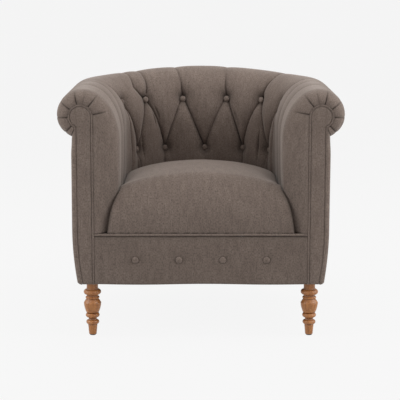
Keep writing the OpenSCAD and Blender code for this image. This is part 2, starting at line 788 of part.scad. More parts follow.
module spring_clips() {
    color(steel) for (x = spring_xs, y = [spring_y0, spring_y1(x)]) difference() {
        translate([x - clip_w / 2, y - clip_l / 2, rail_top]) cube([clip_w, clip_l, clip_h]);
        translate([x - clip_w, y - wire_d / 2 - fit_gap, spring_z - fit_gap])
            cube([2 * clip_w, wire_d + 2 * fit_gap, wire_d + 2 * fit_gap]);
    }
}
module seat_hessian() {
    color(jute) translate([0, 0, hessian_z]) linear_extrude(height = hessian_t)
        plan_fill(foam_out - block_leg / 4, y_front + board_set + board_t / 2);
}

// Seat plan: a patch between the front edge, the arm faces and the back
function seat_side(b) =
    let (
        u = b * (y_arm - seat_y),
        f = bull(u, bull_pad),
        arm_f = bull(u + seat_set, bull_pad),
        n = facing_n - edge_gap + (-pad_in - facing_n + edge_gap) * arm_f
            - seat_clear * arm_f * (1 - arm_f)
    )
    [min(seat_front_w + (half_w - pad_in - seat_front_w) * f, half_w + n) - soft_gap, seat_y + u];
function seat_back(a) = path(a * s_corner, -pad_in - soft_gap);
function seat_plan(a, b) =
    let (
        t = (a + 1) / 2,
        q = [a * seat_side(0)[0], seat_y],
        p = seat_back(a),
        r = seat_side(b),
        l = [-r[0], r[1]],
        corner = (1 - b) * q + b * [a * (half_w - pad_in - soft_gap), y_arm]
    )
    (1 - b) * q + b * p + (1 - t) * l + t * r - corner;
function seat_top(a, b) =
    let (u = seat_plan(a, b)[1] - seat_y)
    pad_z + (seat_h - pad_z) * bull(u, nose_d)
        * (1 - seat_side_share * pow(abs(a), 2.5) - seat_back_share * pow(b, 2));
function seat_in_a(d) = 1 - d / (half_w - pad_in);
function seat_in_b(d) = d / (y_back - pad_in - seat_y);
module seat_cover() {
    places = concat([-1], [for (i = [0 : seat_cells]) 2 * i / seat_cells - 1], [1]);
    last = len(places) - 1;
    m = len(seat_row_shares);
    outer = [for (i = [0 : last]) [for (j = [0 : m])
        let (
            b = seat_row_shares[min(j, m - 1)],
            xy = seat_plan(places[i], b),
            low = i == 0 || i == last || j == m
        )
        [xy[0], xy[1], low ? pad_z : seat_top(places[i], b)]]];
    in_a = seat_in_a(seat_wall);
    in_b = seat_in_b(seat_foam_set);
    inner = [for (i = [0 : last]) [for (k = [0 : 3])
        let (
            xy = seat_plan(places[i] * in_a, k < 2 ? in_b : 1 - in_b),
            low = i == 0 || i == last || k == 0 || k == 3
        )
        [xy[0], xy[1], low ? pad_z : seat_foam_top + soft_gap]]];
    color(cloth) skin(outer, inner);
}
module seat_foam() {
    a = seat_in_a(seat_wall + seat_slack);
    b = seat_in_b(seat_foam_set + seat_slack);
    n = seat_cells;
    color(foam) translate([0, 0, pad_low]) linear_extrude(height = seat_foam_top - pad_low)
        polygon(concat(
            [for (i = [0 : n]) seat_plan(a * (2 * i / n - 1), b)],
            [for (i = [0 : n]) seat_plan(a * (1 - 2 * i / n), 1 - b)]));
}
module seat_piping() {
    half = half_w + facing_n - edge_gap;
    color(piping_cloth) translate([-half, y_front + welt_d / 2 + fit_gap, welt_z]) rotate([0, 90, 0])
        cylinder(h = 2 * half, d = welt_d, $fn = small_fn);
}

// Front border with its row of covered buttons
border_half = half_w + facing_n - edge_gap;
border_xs = [for (i = [0 : border_buttons_n - 1]) (i - (border_buttons_n - 1) / 2) * border_pitch];
function border_dip(x, z) =
    max([for (bx = border_xs) dimple_depth * bump(norm([x - bx, z - border_button_z]), dimple_r)]);
module front_border() {
    back = y_front + board_set - fit_gap;
    outer = [for (i = [0 : border_cells]) [for (j = [0 : border_rows])
        let (x = border_half * (2 * i / border_cells - 1), z = leg_h + (border_top - leg_h) * j / border_rows)
        [x, back - border_t + border_dip(x, z), z]]];
    inner = [for (i = [0 : border_cells]) let (x = border_half * (2 * i / border_cells - 1))
        [[x, back, leg_h], [x, back, border_top]]];
    color(cloth) skin(outer, inner);
}
module border_buttons() {
    back = y_front + board_set - fit_gap - border_t + dimple_depth;
    color(cloth) for (x = border_xs)
        translate([x, back - border_button_lift, border_button_z]) button(button_d, border_button_t);
}

// Dust cover under the frame
leg_spots = [[-leg_x, y_front + leg_set], [leg_x, y_front + leg_set], [-rear_leg_x, rear_leg_y],
    [rear_leg_x, rear_leg_y]];
module dust_cover() {
    color(black_cloth) translate([0, 0, rail_z - fit_gap - dust_t]) linear_extrude(height = dust_t)
        difference() {
            plan_fill(wood_out - wood_t / 3, y_front + board_set + board_t / 4);
            for (i = [0 : 3]) translate(leg_spots[i]) circle(r = plate_rs[i] + plate_over, $fn = round_fn);
        }
}

// Turned front leg, built from beads, a vase and a tapered foot
neck_d = leg_d * 0.68;
bead_r = leg_d * 0.155;
bead_z = leg_h * 0.82;
fillet_d = leg_d * 0.8;
fillet_h = leg_h * 0.036;
vase_z = leg_h * 0.64;
vase_low = leg_h * 0.43;
vase_low_d = leg_d * 0.66;
ring_z = leg_h * 0.38;
ring_d = leg_d * 0.8;
ring_r = leg_h * 0.046;
waist_d = leg_d * 0.48;
waist_z = leg_h * 0.31;
cuff_z = leg_h * 0.25;
cuff_d = leg_d * 0.75;
cuff_r = leg_h * 0.042;
foot_d = leg_d * 0.54;
foot_low_d = leg_d * 0.43;
module bead(z, d, r) {
    translate([0, 0, z]) rotate_extrude($fn = round_fn)
        translate([d / 2 - r, 0]) circle(r = r, $fn = small_fn);
    translate([0, 0, z - r]) cylinder(h = 2 * r, r = d / 2 - r, $fn = round_fn);
}
module band(z0, z1, d0, d1) translate([0, 0, z0]) cylinder(h = z1 - z0, d1 = d0, d2 = d1, $fn = round_fn);
module turned_leg() {
    shoulder = leg_d * 0.2;
    band(glide_h, cuff_z - cuff_r, foot_low_d, foot_d);
    bead(cuff_z, cuff_d, cuff_r);
    band(cuff_z, ring_z, waist_d, waist_d);
    bead(ring_z, ring_d, ring_r);
    band(ring_z + ring_r * 0.6, vase_low, vase_low_d * 0.92, vase_low_d);
    band(vase_low, vase_z - shoulder * 0.6, vase_low_d, leg_d * 0.96);
    bead(vase_z - shoulder * 0.35, leg_d, shoulder * 0.72);
    band(vase_z, bead_z, fillet_d * 0.9, fillet_d * 0.9);
    bead(vase_z + shoulder * 0.9, fillet_d, fillet_h / 2);
    bead(bead_z, leg_d, bead_r);
    band(bead_z, leg_top, neck_d, neck_d);
}
module front_leg(side) {
    color(oak) difference() {
        translate([side * leg_x, y_front + leg_set, 0]) turned_leg();
        front_bolts(fit_gap);
    }
}
module front_left_leg() front_leg(-1);
module front_right_leg() front_leg(1);

// Square back leg, tapered and raked backwards
module rear_leg(side) {
    w = rear_leg_w / 2;
    f = toe_w / 2;
    top = [for (p = [[-w, -w], [w, -w], [w, w], [-w, w]]) [p[0], p[1], leg_top]];
    foot = [for (p = [[-f, -f], [f, -f], [f, f], [-f, f]]) [p[0] + splay, p[1] + rake, glide_h]];
    color(oak) difference() {
        mirror([side < 0 ? 1 : 0, 0, 0]) translate([rear_leg_x, rear_leg_y, 0])
            polyhedron(concat(foot, top),
                [[0, 1, 2, 3], [7, 6, 5, 4], [0, 4, 5, 1], [1, 5, 6, 2], [2, 6, 7, 3], [3, 7, 4, 0]]);
        rear_bolts(fit_gap);
    }
}
module rear_left_leg() rear_leg(-1);
module rear_right_leg() rear_leg(1);

// Bolts, plates and glides
module bolts(spots, grow) {
    for (p = spots) translate([p[0], p[1], leg_top - bolt_down - grow])
        cylinder(h = bolt_down + rail_z - leg_top + bolt_up + 2 * grow, d = bolt_d + 2 * grow,
            $fn = small_fn);
}
module front_bolts(grow) bolts([leg_spots[0], leg_spots[1]], grow);
module rear_bolts(grow) bolts([leg_spots[2], leg_spots[3]], grow);
module leg_bolts() color(steel) {
    front_bolts(0);
    rear_bolts(0);
}
module leg_plates() {
    color(steel) for (i = [0 : 3]) translate(concat(leg_spots[i], leg_top + fit_gap))
        difference() {
            cylinder(h = plate_t, r = plate_rs[i], $fn = round_fn);
            translate([0, 0, -overrun])
                cylinder(h = plate_t + 2 * overrun, d = bolt_d + 2 * fit_gap, $fn = small_fn);
        }
}
module leg_glides() {
    spots = [leg_spots[0], leg_spots[1], leg_spots[2] + [-splay, rake], leg_spots[3] + [splay, rake]];
    color(nylon) for (p = spots) translate(p) cylinder(h = glide_h, d = glide_d, $fn = round_fn);
}

front_rail();
left_side_rail();
right_side_rail();
back_rail();
corner_blocks();
frame_dowels();
left_arm_board();
right_arm_board();
left_stiles();
right_stiles();
left_arm_rail();
right_arm_rail();
crest_rail();
left_arm_webbing();
right_arm_webbing();
back_webbing();
left_arm_foam();
right_arm_foam();
back_foam();
left_roll_core();
right_roll_core();
back_roll_core();
inside_back_cover();
left_inside_arm_cover();
right_inside_arm_cover();
back_buttons();
left_outside_padding();
right_outside_padding();
back_outside_padding();
left_outside_arm_cover();
right_outside_arm_cover();
outside_back_cover();
left_arm_facing();
right_arm_facing();
left_facing_piping();
right_facing_piping();
seat_springs();
spring_clips();
seat_hessian();
seat_foam();
seat_cover();
seat_piping();
front_border();
border_buttons();
dust_cover();
front_left_leg();
front_right_leg();
rear_left_leg();
rear_right_leg();
leg_plates();
leg_bolts();
leg_glides();
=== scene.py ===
"""The looks of a tub chair: rolled arms that run round into a deep-buttoned back, a tight sprung seat,
turned front legs. Metres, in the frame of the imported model. "left" is the -X side.

On the wall, s runs along the centre line of the roll from the middle of the back, n outwards from it, and
v up the padded section: 0 to 1 the inner face, 1 to 2 the swell up to the crest, 2 to 3 round the roll."""
import math

import bmesh
import bpy
import numpy as np
from bpy.props import FloatProperty, FloatVectorProperty, IntProperty, PointerProperty
from bpy.types import Operator, Panel, PropertyGroup
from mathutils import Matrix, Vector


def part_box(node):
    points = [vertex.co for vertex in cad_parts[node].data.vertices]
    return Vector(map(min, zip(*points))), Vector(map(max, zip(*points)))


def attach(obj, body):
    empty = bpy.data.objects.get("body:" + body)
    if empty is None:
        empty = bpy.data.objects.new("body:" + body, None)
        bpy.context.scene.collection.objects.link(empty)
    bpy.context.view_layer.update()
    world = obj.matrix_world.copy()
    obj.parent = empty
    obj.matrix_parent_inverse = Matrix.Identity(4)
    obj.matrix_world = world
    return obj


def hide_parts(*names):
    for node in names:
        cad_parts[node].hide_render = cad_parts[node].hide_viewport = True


bl_info = {
    "name": "Tub Chair",
    "version": (1, 0, 0),
    "blender": (4, 5, 0),
    "location": "View3D > Sidebar > Tub Chair",
    "description": "Dresses the frame of a deep-buttoned tub chair in cloth and wood",
    "category": "Object",
}

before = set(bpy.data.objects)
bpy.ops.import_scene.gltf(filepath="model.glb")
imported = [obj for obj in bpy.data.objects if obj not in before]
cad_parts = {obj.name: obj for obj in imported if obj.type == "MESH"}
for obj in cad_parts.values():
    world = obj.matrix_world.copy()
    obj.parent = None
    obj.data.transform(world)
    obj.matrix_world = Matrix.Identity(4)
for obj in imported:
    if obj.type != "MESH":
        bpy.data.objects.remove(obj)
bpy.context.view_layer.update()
SIDES = {"left": -1, "right": 1}

# Places read from the frame
facing_low, facing_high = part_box("right_arm_facing")
arm_low, arm_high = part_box("right_inside_arm_cover")
back_low, back_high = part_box("inside_back_cover")
seat_low, seat_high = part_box("seat_cover")
border_low, border_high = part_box("front_border")
welt_low, welt_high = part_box("seat_piping")
dust_low, dust_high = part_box("dust_cover")


def length(name, description, default, low=0.0, high=2.0):
    """A size in metres."""
    return FloatProperty(
        name=name, description=description, default=default, min=low, max=high, unit="LENGTH", precision=4)


def share(name, description, default, low=0.0, high=1.0):
    """A plain number."""
    return FloatProperty(name=name, description=description, default=default, min=low, max=high)


def colour(name, description, default):
    """A linear colour."""
    return FloatVectorProperty(
        name=name, description=description, default=default, size=3, min=0, max=1, subtype="COLOR")


class WallSizes(PropertyGroup):
    half_width: length("Half width", "Middle of the chair to the outside of the roll", arm_high.x)
    front: length("Front", "Middle of the chair to the arm fronts", -facing_low.y)
    rear: length("Rear", "Middle of the chair to the back of the roll", back_high.y)
    arm_height: length("Arm height", "Top of the arm roll", arm_high.z)
    back_height: length("Back height", "Top of the roll in the middle of the back", back_high.z)
    leg_height: length("Leg height", "Floor to the underside of the frame", facing_low.z)
    pad_low: length("Padding bottom", "Bottom of the inside covers", seat_low.z)
    roll_radius: length("Roll radius", "Outer radius of the roll at the arms", 0.076)
    roll_under: share("Roll underside", "Depth of the roll's lower half, as a share of the upper", 0.90, 0.5)
    corner_radius: length("Corner radius", "Rear corners on the centre line", 0.250)
    arm_run: length("Arm run", "Straight length of an arm", 0.425)
    wall_out: length("Outer face", "Centre line to the outer face", 0.034)
    wall_taper: length("Taper", "How far the outer face draws in at the bottom", 0.014)
    pad_in: length("Padding", "Centre line to the inner face", 0.104)


class ButtonSizes(PropertyGroup):
    high_z: length("Upper row", "Height of the upper buttons", 0.643)
    low_z: length("Lower row", "Height of the lower buttons", 0.484)
    high_pitch: length("Upper pitch", "Spacing of the upper buttons", 0.159)
    low_pitch: length("Lower pitch", "Spacing of the lower buttons", 0.146)
    shift: length("Shift", "Sideways offset of the buttoning", 0.014, -0.1, 0.1)
    fold_depth: length("Fold depth", "Depth of the folds between the buttons", 0.019)
    fold_width: length("Fold width", "How far a pillow rounds off towards its fold", 0.062)
    pit_n: length("Pit bottom", "Centre line to the bottom of the button pits", 0.066)
    diameter: length("Diameter", "Diameter of the covered buttons", 0.019)
    thickness: length("Thickness", "Thickness of the covered buttons", 0.006)
    border_diameter: length("Border buttons", "Diameter of the border buttons", 0.020)
    border_pitch: length("Border pitch", "Spacing of the border buttons", 0.127)
    border_z: length("Border row", "Height of the border buttons", 0.230)
    border_count: IntProperty(name="Border count", description="Buttons on the border", default=4, min=1)


class ArmFrontSizes(PropertyGroup):
    head_diameter: length("Scroll head", "Width of the scroll head", 0.066)
    head_z: length("Head height", "Centre of the scroll head", 0.647)
    facing_width: length("Facing width", "Width of the straight facing", 0.048)
    facing_in: length("Facing set-back", "Outer face of the wall to the facing", 0.013)
    piping: length("Piping", "Diameter of the piping round the arm fronts", 0.006)
    round_pad: length("Pad rounding", "Depth of the rounded front of the arm padding", 0.074)
    round_roll: length("Roll rounding", "Depth of the rounded front of the roll", 0.046)
    gather_depth: length("Gather depth", "Depth of the gathers round the scroll head", 0.0088)


class SeatSizes(PropertyGroup):
    half_front: length("Half front", "Half the width of the seat at its front", seat_high.x)
    crown: length("Crown height", "Top of the seat, before its fall to the back", 0.494)
    dome: length("Dome", "How far the seat stands above its edges", 0.050)
    nose: length("Nose", "Depth of the rounded front of the seat", 0.078)
    welt: length("Welt", "Diameter of the piping under the seat", 0.008)


class ClothLook(PropertyGroup):
    base: colour("Cloth", "Colour of the upholstery cloth", (0.192, 0.148, 0.125))
    nap: colour("Nap", "Colour of the brushed streaks", (0.248, 0.195, 0.166))
    sheen: share("Sheen", "Strength of the soft sheen", 0.28)
    # Painted shade: share of the cloth's colour left where painted shade is full, in creases, button pits,
    # beside seams and on lower parts
    crease_and_painted_shade: share("Creases", "How light the cloth stays at the bottom of a crease", 0.25)
    dust: colour("Dust cover", "Colour of the cloth under the frame", (0.022, 0.021, 0.020))


class WoodLook(PropertyGroup):
    oak: colour("Oak", "Colour of the legs", (0.455, 0.186, 0.054))
    # The grooves of the turned legs take painted shade: this colour, darkened further
    oak_grain: colour("Oak grain", "Colour of the grain and the grooves", (0.270, 0.094, 0.024))
    beech: colour("Beech", "Colour of the hidden frame", (0.560, 0.385, 0.225))


class StageLook(PropertyGroup):
    backdrop: colour("Backdrop", "Colour of the backdrop", (0.921, 0.921, 0.921))
    bounce: colour("Floor", "Colour with which the floor lights the chair", (0.61, 0.61, 0.61))
    power: share("Lights", "Power of all lights, as a share of the plain level", 1.0, 0, 10)
    ambient: share("Ambient", "Strength of the surrounding light", 0.27, 0, 10)


# Surfaces

# Gaps: a hair's breadth, between neighbours that would touch, at the seams of the back and the arms, and at
# the seams of the outside covers
HAIR, TOUCH_GAP, SEAM_GAP, COVER_GAP = 0.0003, 0.0005, 0.0008, 0.0004
# How far back an arm's front starts, and the distance over which a soft front comes to its full width
FRONT_START, SOFT_REACH = 0.001, 0.050
# Height from which the outer face draws in, how far the foot of the inner face draws back, thickness of the
# covers round the roll, and the centre line to the inner side of the covers
TAPER_Z, HOLLOW, COVER, CORE_IN = 0.320, 0.009, 0.019, 0.0605
# How far the core of the roll goes round below its top, in degrees, and the gap under it
CORE_TURN, CORE_GAP = 150, 0.002
# Columns of buttons from the middle to the seam with an arm
EDGE_COLUMN = 2.5
# Points up the outer and the inner side of the padded pieces
ROWS, CORE_ROWS = 300, 14
# Fineness of the pattern inside the covers, where it isn't seen
INNER_PATTERN = 0.2


def rounded(x):
    """A quarter circle: 0 at 0, rising steeply, then level from 1 on."""
    return np.sqrt(1 - (1 - np.clip(x, 0, 1)) ** 2)


def front_share(run, reach, soft):
    """How far a rounded front has come to its full width: a quarter circle, mixed by soft with a smooth step
    over SOFT_REACH."""
    return rounded(run / reach) * (1 - soft) + smooth(run / SOFT_REACH) * soft


def smooth(x):
    """A smooth step from 0 to 1."""
    x = np.clip(x, 0, 1)
    return x * x * (3 - 2 * x)


def peak(away, width, power=1):
    """1 at no distance, falling away as an exponential of a power of the distance over a width."""
    return np.exp(-(away / width) ** power)


def ripple(a, b, seed, waves=5):
    """A gentle uneven wave between -1 and 1: a sum of sines of a and b with seeded directions."""
    draw = np.random.default_rng(seed)
    total = np.zeros(np.broadcast(a, b).shape)
    for _ in range(waves):
        turn, phase = draw.uniform(0, 2 * math.pi, 2)
        size = draw.uniform(0.6, 1.6)
        total = total + np.sin(size * (a * math.cos(turn) + b * math.sin(turn)) + phase)
    return total / waves


def ripples(a, b, seed, *parts):
    """A sum of ripples with seeds that count up, each part its height and its lengths along a and b."""
    return sum(height * ripple(a / along, b / across, seed + k)
               for k, (height, along, across) in enumerate(parts))


def crowned(inset, *parts):
    """Rise of a crowned front at a distance from its edges: quarter circles, each of a height and a reach."""
    return sum(height * rounded(inset / reach) for height, reach in parts)


class Wall:
    """The wall of the chair as formulas of its sizes."""

    def __init__(self, scene):
        z = scene.tub_wall
        self.sizes, self.buttons, self.fronts = z, scene.tub_buttons, scene.tub_fronts
        self.half_w = z.half_width - z.roll_radius
        self.roll_grow = (z.back_height - z.arm_height) / 2
        self.y_back = z.rear - z.roll_radius - self.roll_grow
        self.y_arm = z.arm_run - z.front
        self.corner_x = self.half_w - z.corner_radius
        slack = self.y_back - self.y_arm - z.corner_radius
        drop = (self.corner_x ** 2 - slack ** 2) / (2 * slack)
        self.back_r = self.y_back - self.y_arm + drop
        self.back_y = self.y_back - self.back_r
        self.back_a = math.atan2(self.corner_x, drop)
        self.s_back = self.back_r * self.back_a
        self.s_corner = self.s_back + z.corner_radius * (math.pi / 2 - self.back_a)
        self.s_front = self.s_corner + z.arm_run
        self.roll_z = z.arm_height - z.roll_radius
        self.swell_z = self.roll_z - z.roll_radius + HAIR
        self.seam_z = self.roll_z - z.roll_under * math.sqrt(z.roll_radius ** 2 - z.wall_out ** 2) - TOUCH_GAP
        run = TAPER_Z - z.leg_height
        self.taper_r = (run ** 2 + z.wall_taper ** 2) / (2 * z.wall_taper)
        self.head_r = self.fronts.head_diameter / 2
        self.facing_out = z.wall_out - self.fronts.facing_in
        self.facing_n = self.facing_out - self.fronts.facing_width
        self.head_n = self.facing_n + self.head_r
        self.core_r = z.roll_radius - COVER
        self.edge_gap = self.fronts.piping / 2 + HAIR
        self.measure_section()

    def measure_section(self):
        """Length along the padded section, t, measured at 600 points for each 1 of v."""
        self.v_marks = np.linspace(0, 3, 3 * 600 + 1)
        n, z = self.section(self.v_marks, 0)
        self.t_marks = np.concatenate([[0], np.cumsum(np.hypot(np.diff(n), np.diff(z)))])
        self.t_crest = float(np.interp(2, self.v_marks, self.t_marks))
        self.z_marks = z[self.v_marks <= 2]
        self.t_high = self.t_at(self.buttons.high_z)
        self.t_low = self.t_at(self.buttons.low_z)

    def t_at(self, z):
        """Length up the section at which its front side reaches the height z."""
        return float(np.interp(z, self.z_marks, self.t_marks[:len(self.z_marks)]))

    def rows(self):
        """Values of v and t for rows of equal spacing up the section."""
        v = np.interp(np.linspace(0, self.t_marks[-1], ROWS), self.t_marks, self.v_marks)[None, :]
        return v, np.interp(v, self.v_marks, self.t_marks)

    def button_level(self, v, z):
        """Height that sets the pitch of the buttons: z up to the crest, and the upper row's beyond it."""
        return np.where(v <= 2, z, self.buttons.high_z)

    def point(self, s, n, z):
        """Places (s, n, z) on the plan: a bowed arc behind, a corner arc each side, then straight arms."""
        s, n, z = np.broadcast_arrays(s, n, z)
        d, side = np.abs(s), np.where(s < 0, -1, 1)
        a = np.where(d <= self.s_back, d / self.back_r,
                     self.back_a + (d - self.s_back) / self.sizes.corner_radius)
        a = np.minimum(a, math.pi / 2)
        behind = d <= self.s_back
        radius = np.where(behind, self.back_r, self.sizes.corner_radius) + n
        x = np.where(behind, 0, self.corner_x) + radius * np.sin(a)
        y = np.where(behind, self.back_y, self.y_arm) + radius * np.cos(a)
        run = np.maximum(d - self.s_corner, 0)
        return np.stack([side * x, y - run, z], -1)

    def arm_point(self, side, u, n, z):
        """Places on an arm at the distance u behind its front."""
        return self.point(side * (self.s_front - u), n, z)

    def heading(self, s):
        """Direction the wall faces at s, clockwise from +Y."""
        d = abs(s)
        a = d / self.back_r if d <= self.s_back else min(
            self.back_a + (d - self.s_back) / self.sizes.corner_radius, math.pi / 2)
        return math.copysign(a, s)

    def growth(self, s):
        """How much the roll grows towards the middle of the back: a cosine squared of s."""
        reach = EDGE_COLUMN * self.buttons.high_pitch - abs(self.buttons.shift)
        return self.roll_grow * np.cos(np.pi / 2 * np.minimum(np.abs(s) / reach, 1)) ** 2

    def section(self, v, grow):
        """Padded section: a slightly hollow face, a quarter ellipse to the crest, then the round roll."""
        z0, z1, height = self.sizes.pad_low, self.swell_z, self.sizes.arm_height + 2 * grow
        depth, radius = self.sizes.pad_in, self.sizes.roll_radius + grow
        up = z0 + (z1 - z0) * np.clip(v, 0, 1)
        face = -depth + HOLLOW * ((z1 - up) / (z1 - z0)) ** 2
        a, under = np.pi / 2 * np.clip(v - 1, 0, 1), self.sizes.roll_under
        end = np.arcsin(self.sizes.wall_out / radius) - np.pi
        b = np.pi / 2 + end * np.clip(v - 2, 0, 1)
        roll = self.roll_z + grow + radius * np.sin(b) * np.where(b < 0, under, 1)
        n = np.where(v <= 1, face, np.where(v <= 2, -depth * np.cos(a), radius * np.cos(b)))
        return n, np.where(v <= 1, up, np.where(v <= 2, z1 + (height - z1) * np.sin(a), roll))

    def core(self, v, grow):
        """Inner side of the covers: up the foam face, then round the core of the roll."""
        top = self.roll_z - self.core_r - CORE_GAP
        up = self.sizes.pad_low + (top - self.sizes.pad_low) * np.clip(v, 0, 1)
        a = np.pi - np.pi / 2 * np.clip(v - 1, 0, 1) - np.radians(CORE_TURN) * np.clip(v - 2, 0, 1)
        n = np.where(v <= 1, -CORE_IN, self.core_r * np.cos(a))
        return n, np.where(v <= 1, up, self.roll_z + grow + self.core_r * np.sin(a))

    def front_outline(self, v):
        """Outline of the arm front that each row closes onto: the facing's edge, then the scroll head."""
        n, z = self.section(v, 0)
        z0, z1, radius = self.sizes.pad_low, self.swell_z, self.head_r + self.edge_gap
        swell = np.pi - np.arctan2(z - z1, -n * (self.sizes.arm_height - z1) / self.sizes.pad_in)
        a = np.where(v <= 2, swell, np.arctan2(z - self.roll_z, n))
        level = z0 + (z - z0) * (self.fronts.head_z - z0) / (z1 - z0)
        return (np.where(v <= 1, self.facing_n - self.edge_gap, self.head_n + radius * np.cos(a)),
                np.where(v <= 1, level, self.fronts.head_z + radius * np.sin(a)))

    def outer_face(self, z):
        """Outer face: upright, then drawn in towards the bottom on a long arc."""
        low = np.maximum(TAPER_Z - z, 0)
        return self.sizes.wall_out - self.taper_r + np.sqrt(self.taper_r ** 2 - low ** 2)

    def pitch(self, z):
        """Spacing of the button columns at a height."""
        b = self.buttons
        part = np.clip((z - b.low_z) / (b.high_z - b.low_z), 0, 1)
        return b.low_pitch + (b.high_pitch - b.low_pitch) * part

    def seam(self, side, z):
        """Where the back meets an arm at a height: half a column outside the last lower button."""
        return self.buttons.shift + side * EDGE_COLUMN * self.pitch(z)

    def pull_back(self, n, z, depth):
        """Moves section points in by depth: straight back below the upper buttons, and above them towards
        the middle of the roll."""
        up = np.maximum(z - self.buttons.high_z, 0)
        size = np.maximum(np.hypot(n, up), 1e-6)
        level = up == 0
        return n + np.where(level, 1, -n / size) * depth, z + np.where(level, 0, -up / size) * depth


# Folds of the buttoned back: columns of the upper and lower buttons, and each fold's sideways bow and how
# sharp its crease is
UPPER = (-EDGE_COLUMN, -1.5, -0.5, 0.5, 1.5, EDGE_COLUMN)
LOWER = (-2, -1, 0, 1, 2)
DIAMONDS = (
    (-2.5, -2, 0.010, 0.8), (-1.5, -2, -0.006, 0.4), (-1.5, -1, 0.013, 0.8), (-0.5, -1, -0.007, 0.5),
    (-0.5, 0, 0.003, 1.0), (0.5, 0, -0.008, 0.35), (0.5, 1, 0.002, 1.0), (1.5, 1, -0.013, 0.3),
    (1.5, 2, 0.006, 0.6), (2.5, 2, -0.010, 0.7))
# Pleats over the roll: upper column, then (sideways run, share of the way to the crest) at each point
PLEATS = (
    (-2.5, ((0, 0), (-0.030, 0.25), (-0.072, 0.55), (-0.113, 0.85), (-0.130, 1.3))),
    (-1.5, ((0, 0), (-0.030, 0.25), (-0.053, 0.52), (-0.041, 0.93), (-0.036, 1.4))),
    (-1.5, ((0.009, 0.25), (0.015, 0.6), (0.013, 1.0), (0.010, 1.3))),
    (-0.5, ((0, 0), (-0.003, 0.35), (-0.008, 0.7), (-0.018, 0.97), (-0.021, 1.4))),
    (0.5, ((0, 0), (-0.004, 0.4), (-0.006, 0.8), (-0.007, 1.4))),
    (1.5, ((0, 0), (0.006, 0.3), (0.015, 0.58), (0.029, 0.87), (0.036, 1.4))),
    (2.5, ((0, 0), (0.018, 0.25), (0.042, 0.55), (0.064, 0.85), (0.075, 1.3))))
# Flutes down an arm, as shares of its straight length behind the front
FLUTES = (0.47, 0.776)
# Fine creases near the folds: start and end as (sideways place, share of the way from the lower row of
# buttons to the upper one), then bow and sharpness
FINE_CREASES = (
    ((-0.215, 0.93), (-0.172, 0.42), 0.010, 0.8), ((-0.222, 0.80), (-0.196, 0.36), 0.006, 0.5),
    ((-0.062, 0.86), (-0.014, 0.36), -0.003, 0.35), ((0.094, 0.88), (0.144, 0.30), 0.004, 0.6),
    ((-0.135, 0.30), (-0.126, -0.20), -0.003, 0.4), ((0.158, 0.24), (0.164, -0.28), 0.004, 0.4),
    ((-0.290, 0.55), (-0.266, -0.30), 0.006, 0.7), ((0.262, 0.50), (0.244, -0.35), -0.006, 0.6),
    ((-0.300, 0.20), (-0.282, -0.75), 0.004, 0.6), ((0.300, 0.30), (0.282, -0.70), -0.004, 0.6))
# Depths along a fold: shares of its length, and at each a share of the full depth or, for a flute, metres
DIAMOND_DEPTHS = (0, 0.45, 1), (1, 0.86, 1.08)
PLEAT_DEPTHS = (0, 0.5, 1, 1.4), (0.9, 0.62, 0.34, 0)
FLUTE_DEPTHS = (0, 0.6, 0.85, 1), (0.012, 0.012, 0.007, 0)
# Length over the crest for each 1 that a pleat's share goes past it
PAST_CREST = 0.11
# Fold that has a full crease, and the crease's depth, width and painted shade
FULL_FOLD, CREASE_DEPTH, CREASE_WIDTH, CREASE_SHADE = 0.018, 0.0050, 0.0030, 0.8
# Width and power of a button's pit, and of the painted shade in it with its strength
PIT_WIDTH, PIT_POWER = 0.023, 1.2
PIT_SHADE, PIT_SHADE_WIDTH, PIT_SHADE_POWER = 0.85, 0.019, 1.6
# Painted shade, darker towards the foot of the inner faces: strength, the length up to which it is full, and
# how fast it fades
FOOT_SHADE, FOOT_FULL, FOOT_FADE = 0.40, 0.09, 0.075


def bowed(start, end, bow, steps=6):
    """Points from start to end on a shallow arch that stands sideways by bow in the middle."""
    part = np.linspace(0, 1, steps)[:, None]
    points = np.array(start) * (1 - part) + np.array(end) * part
    points[:, 0] += bow * np.sin(np.pi * part[:, 0])
    return points


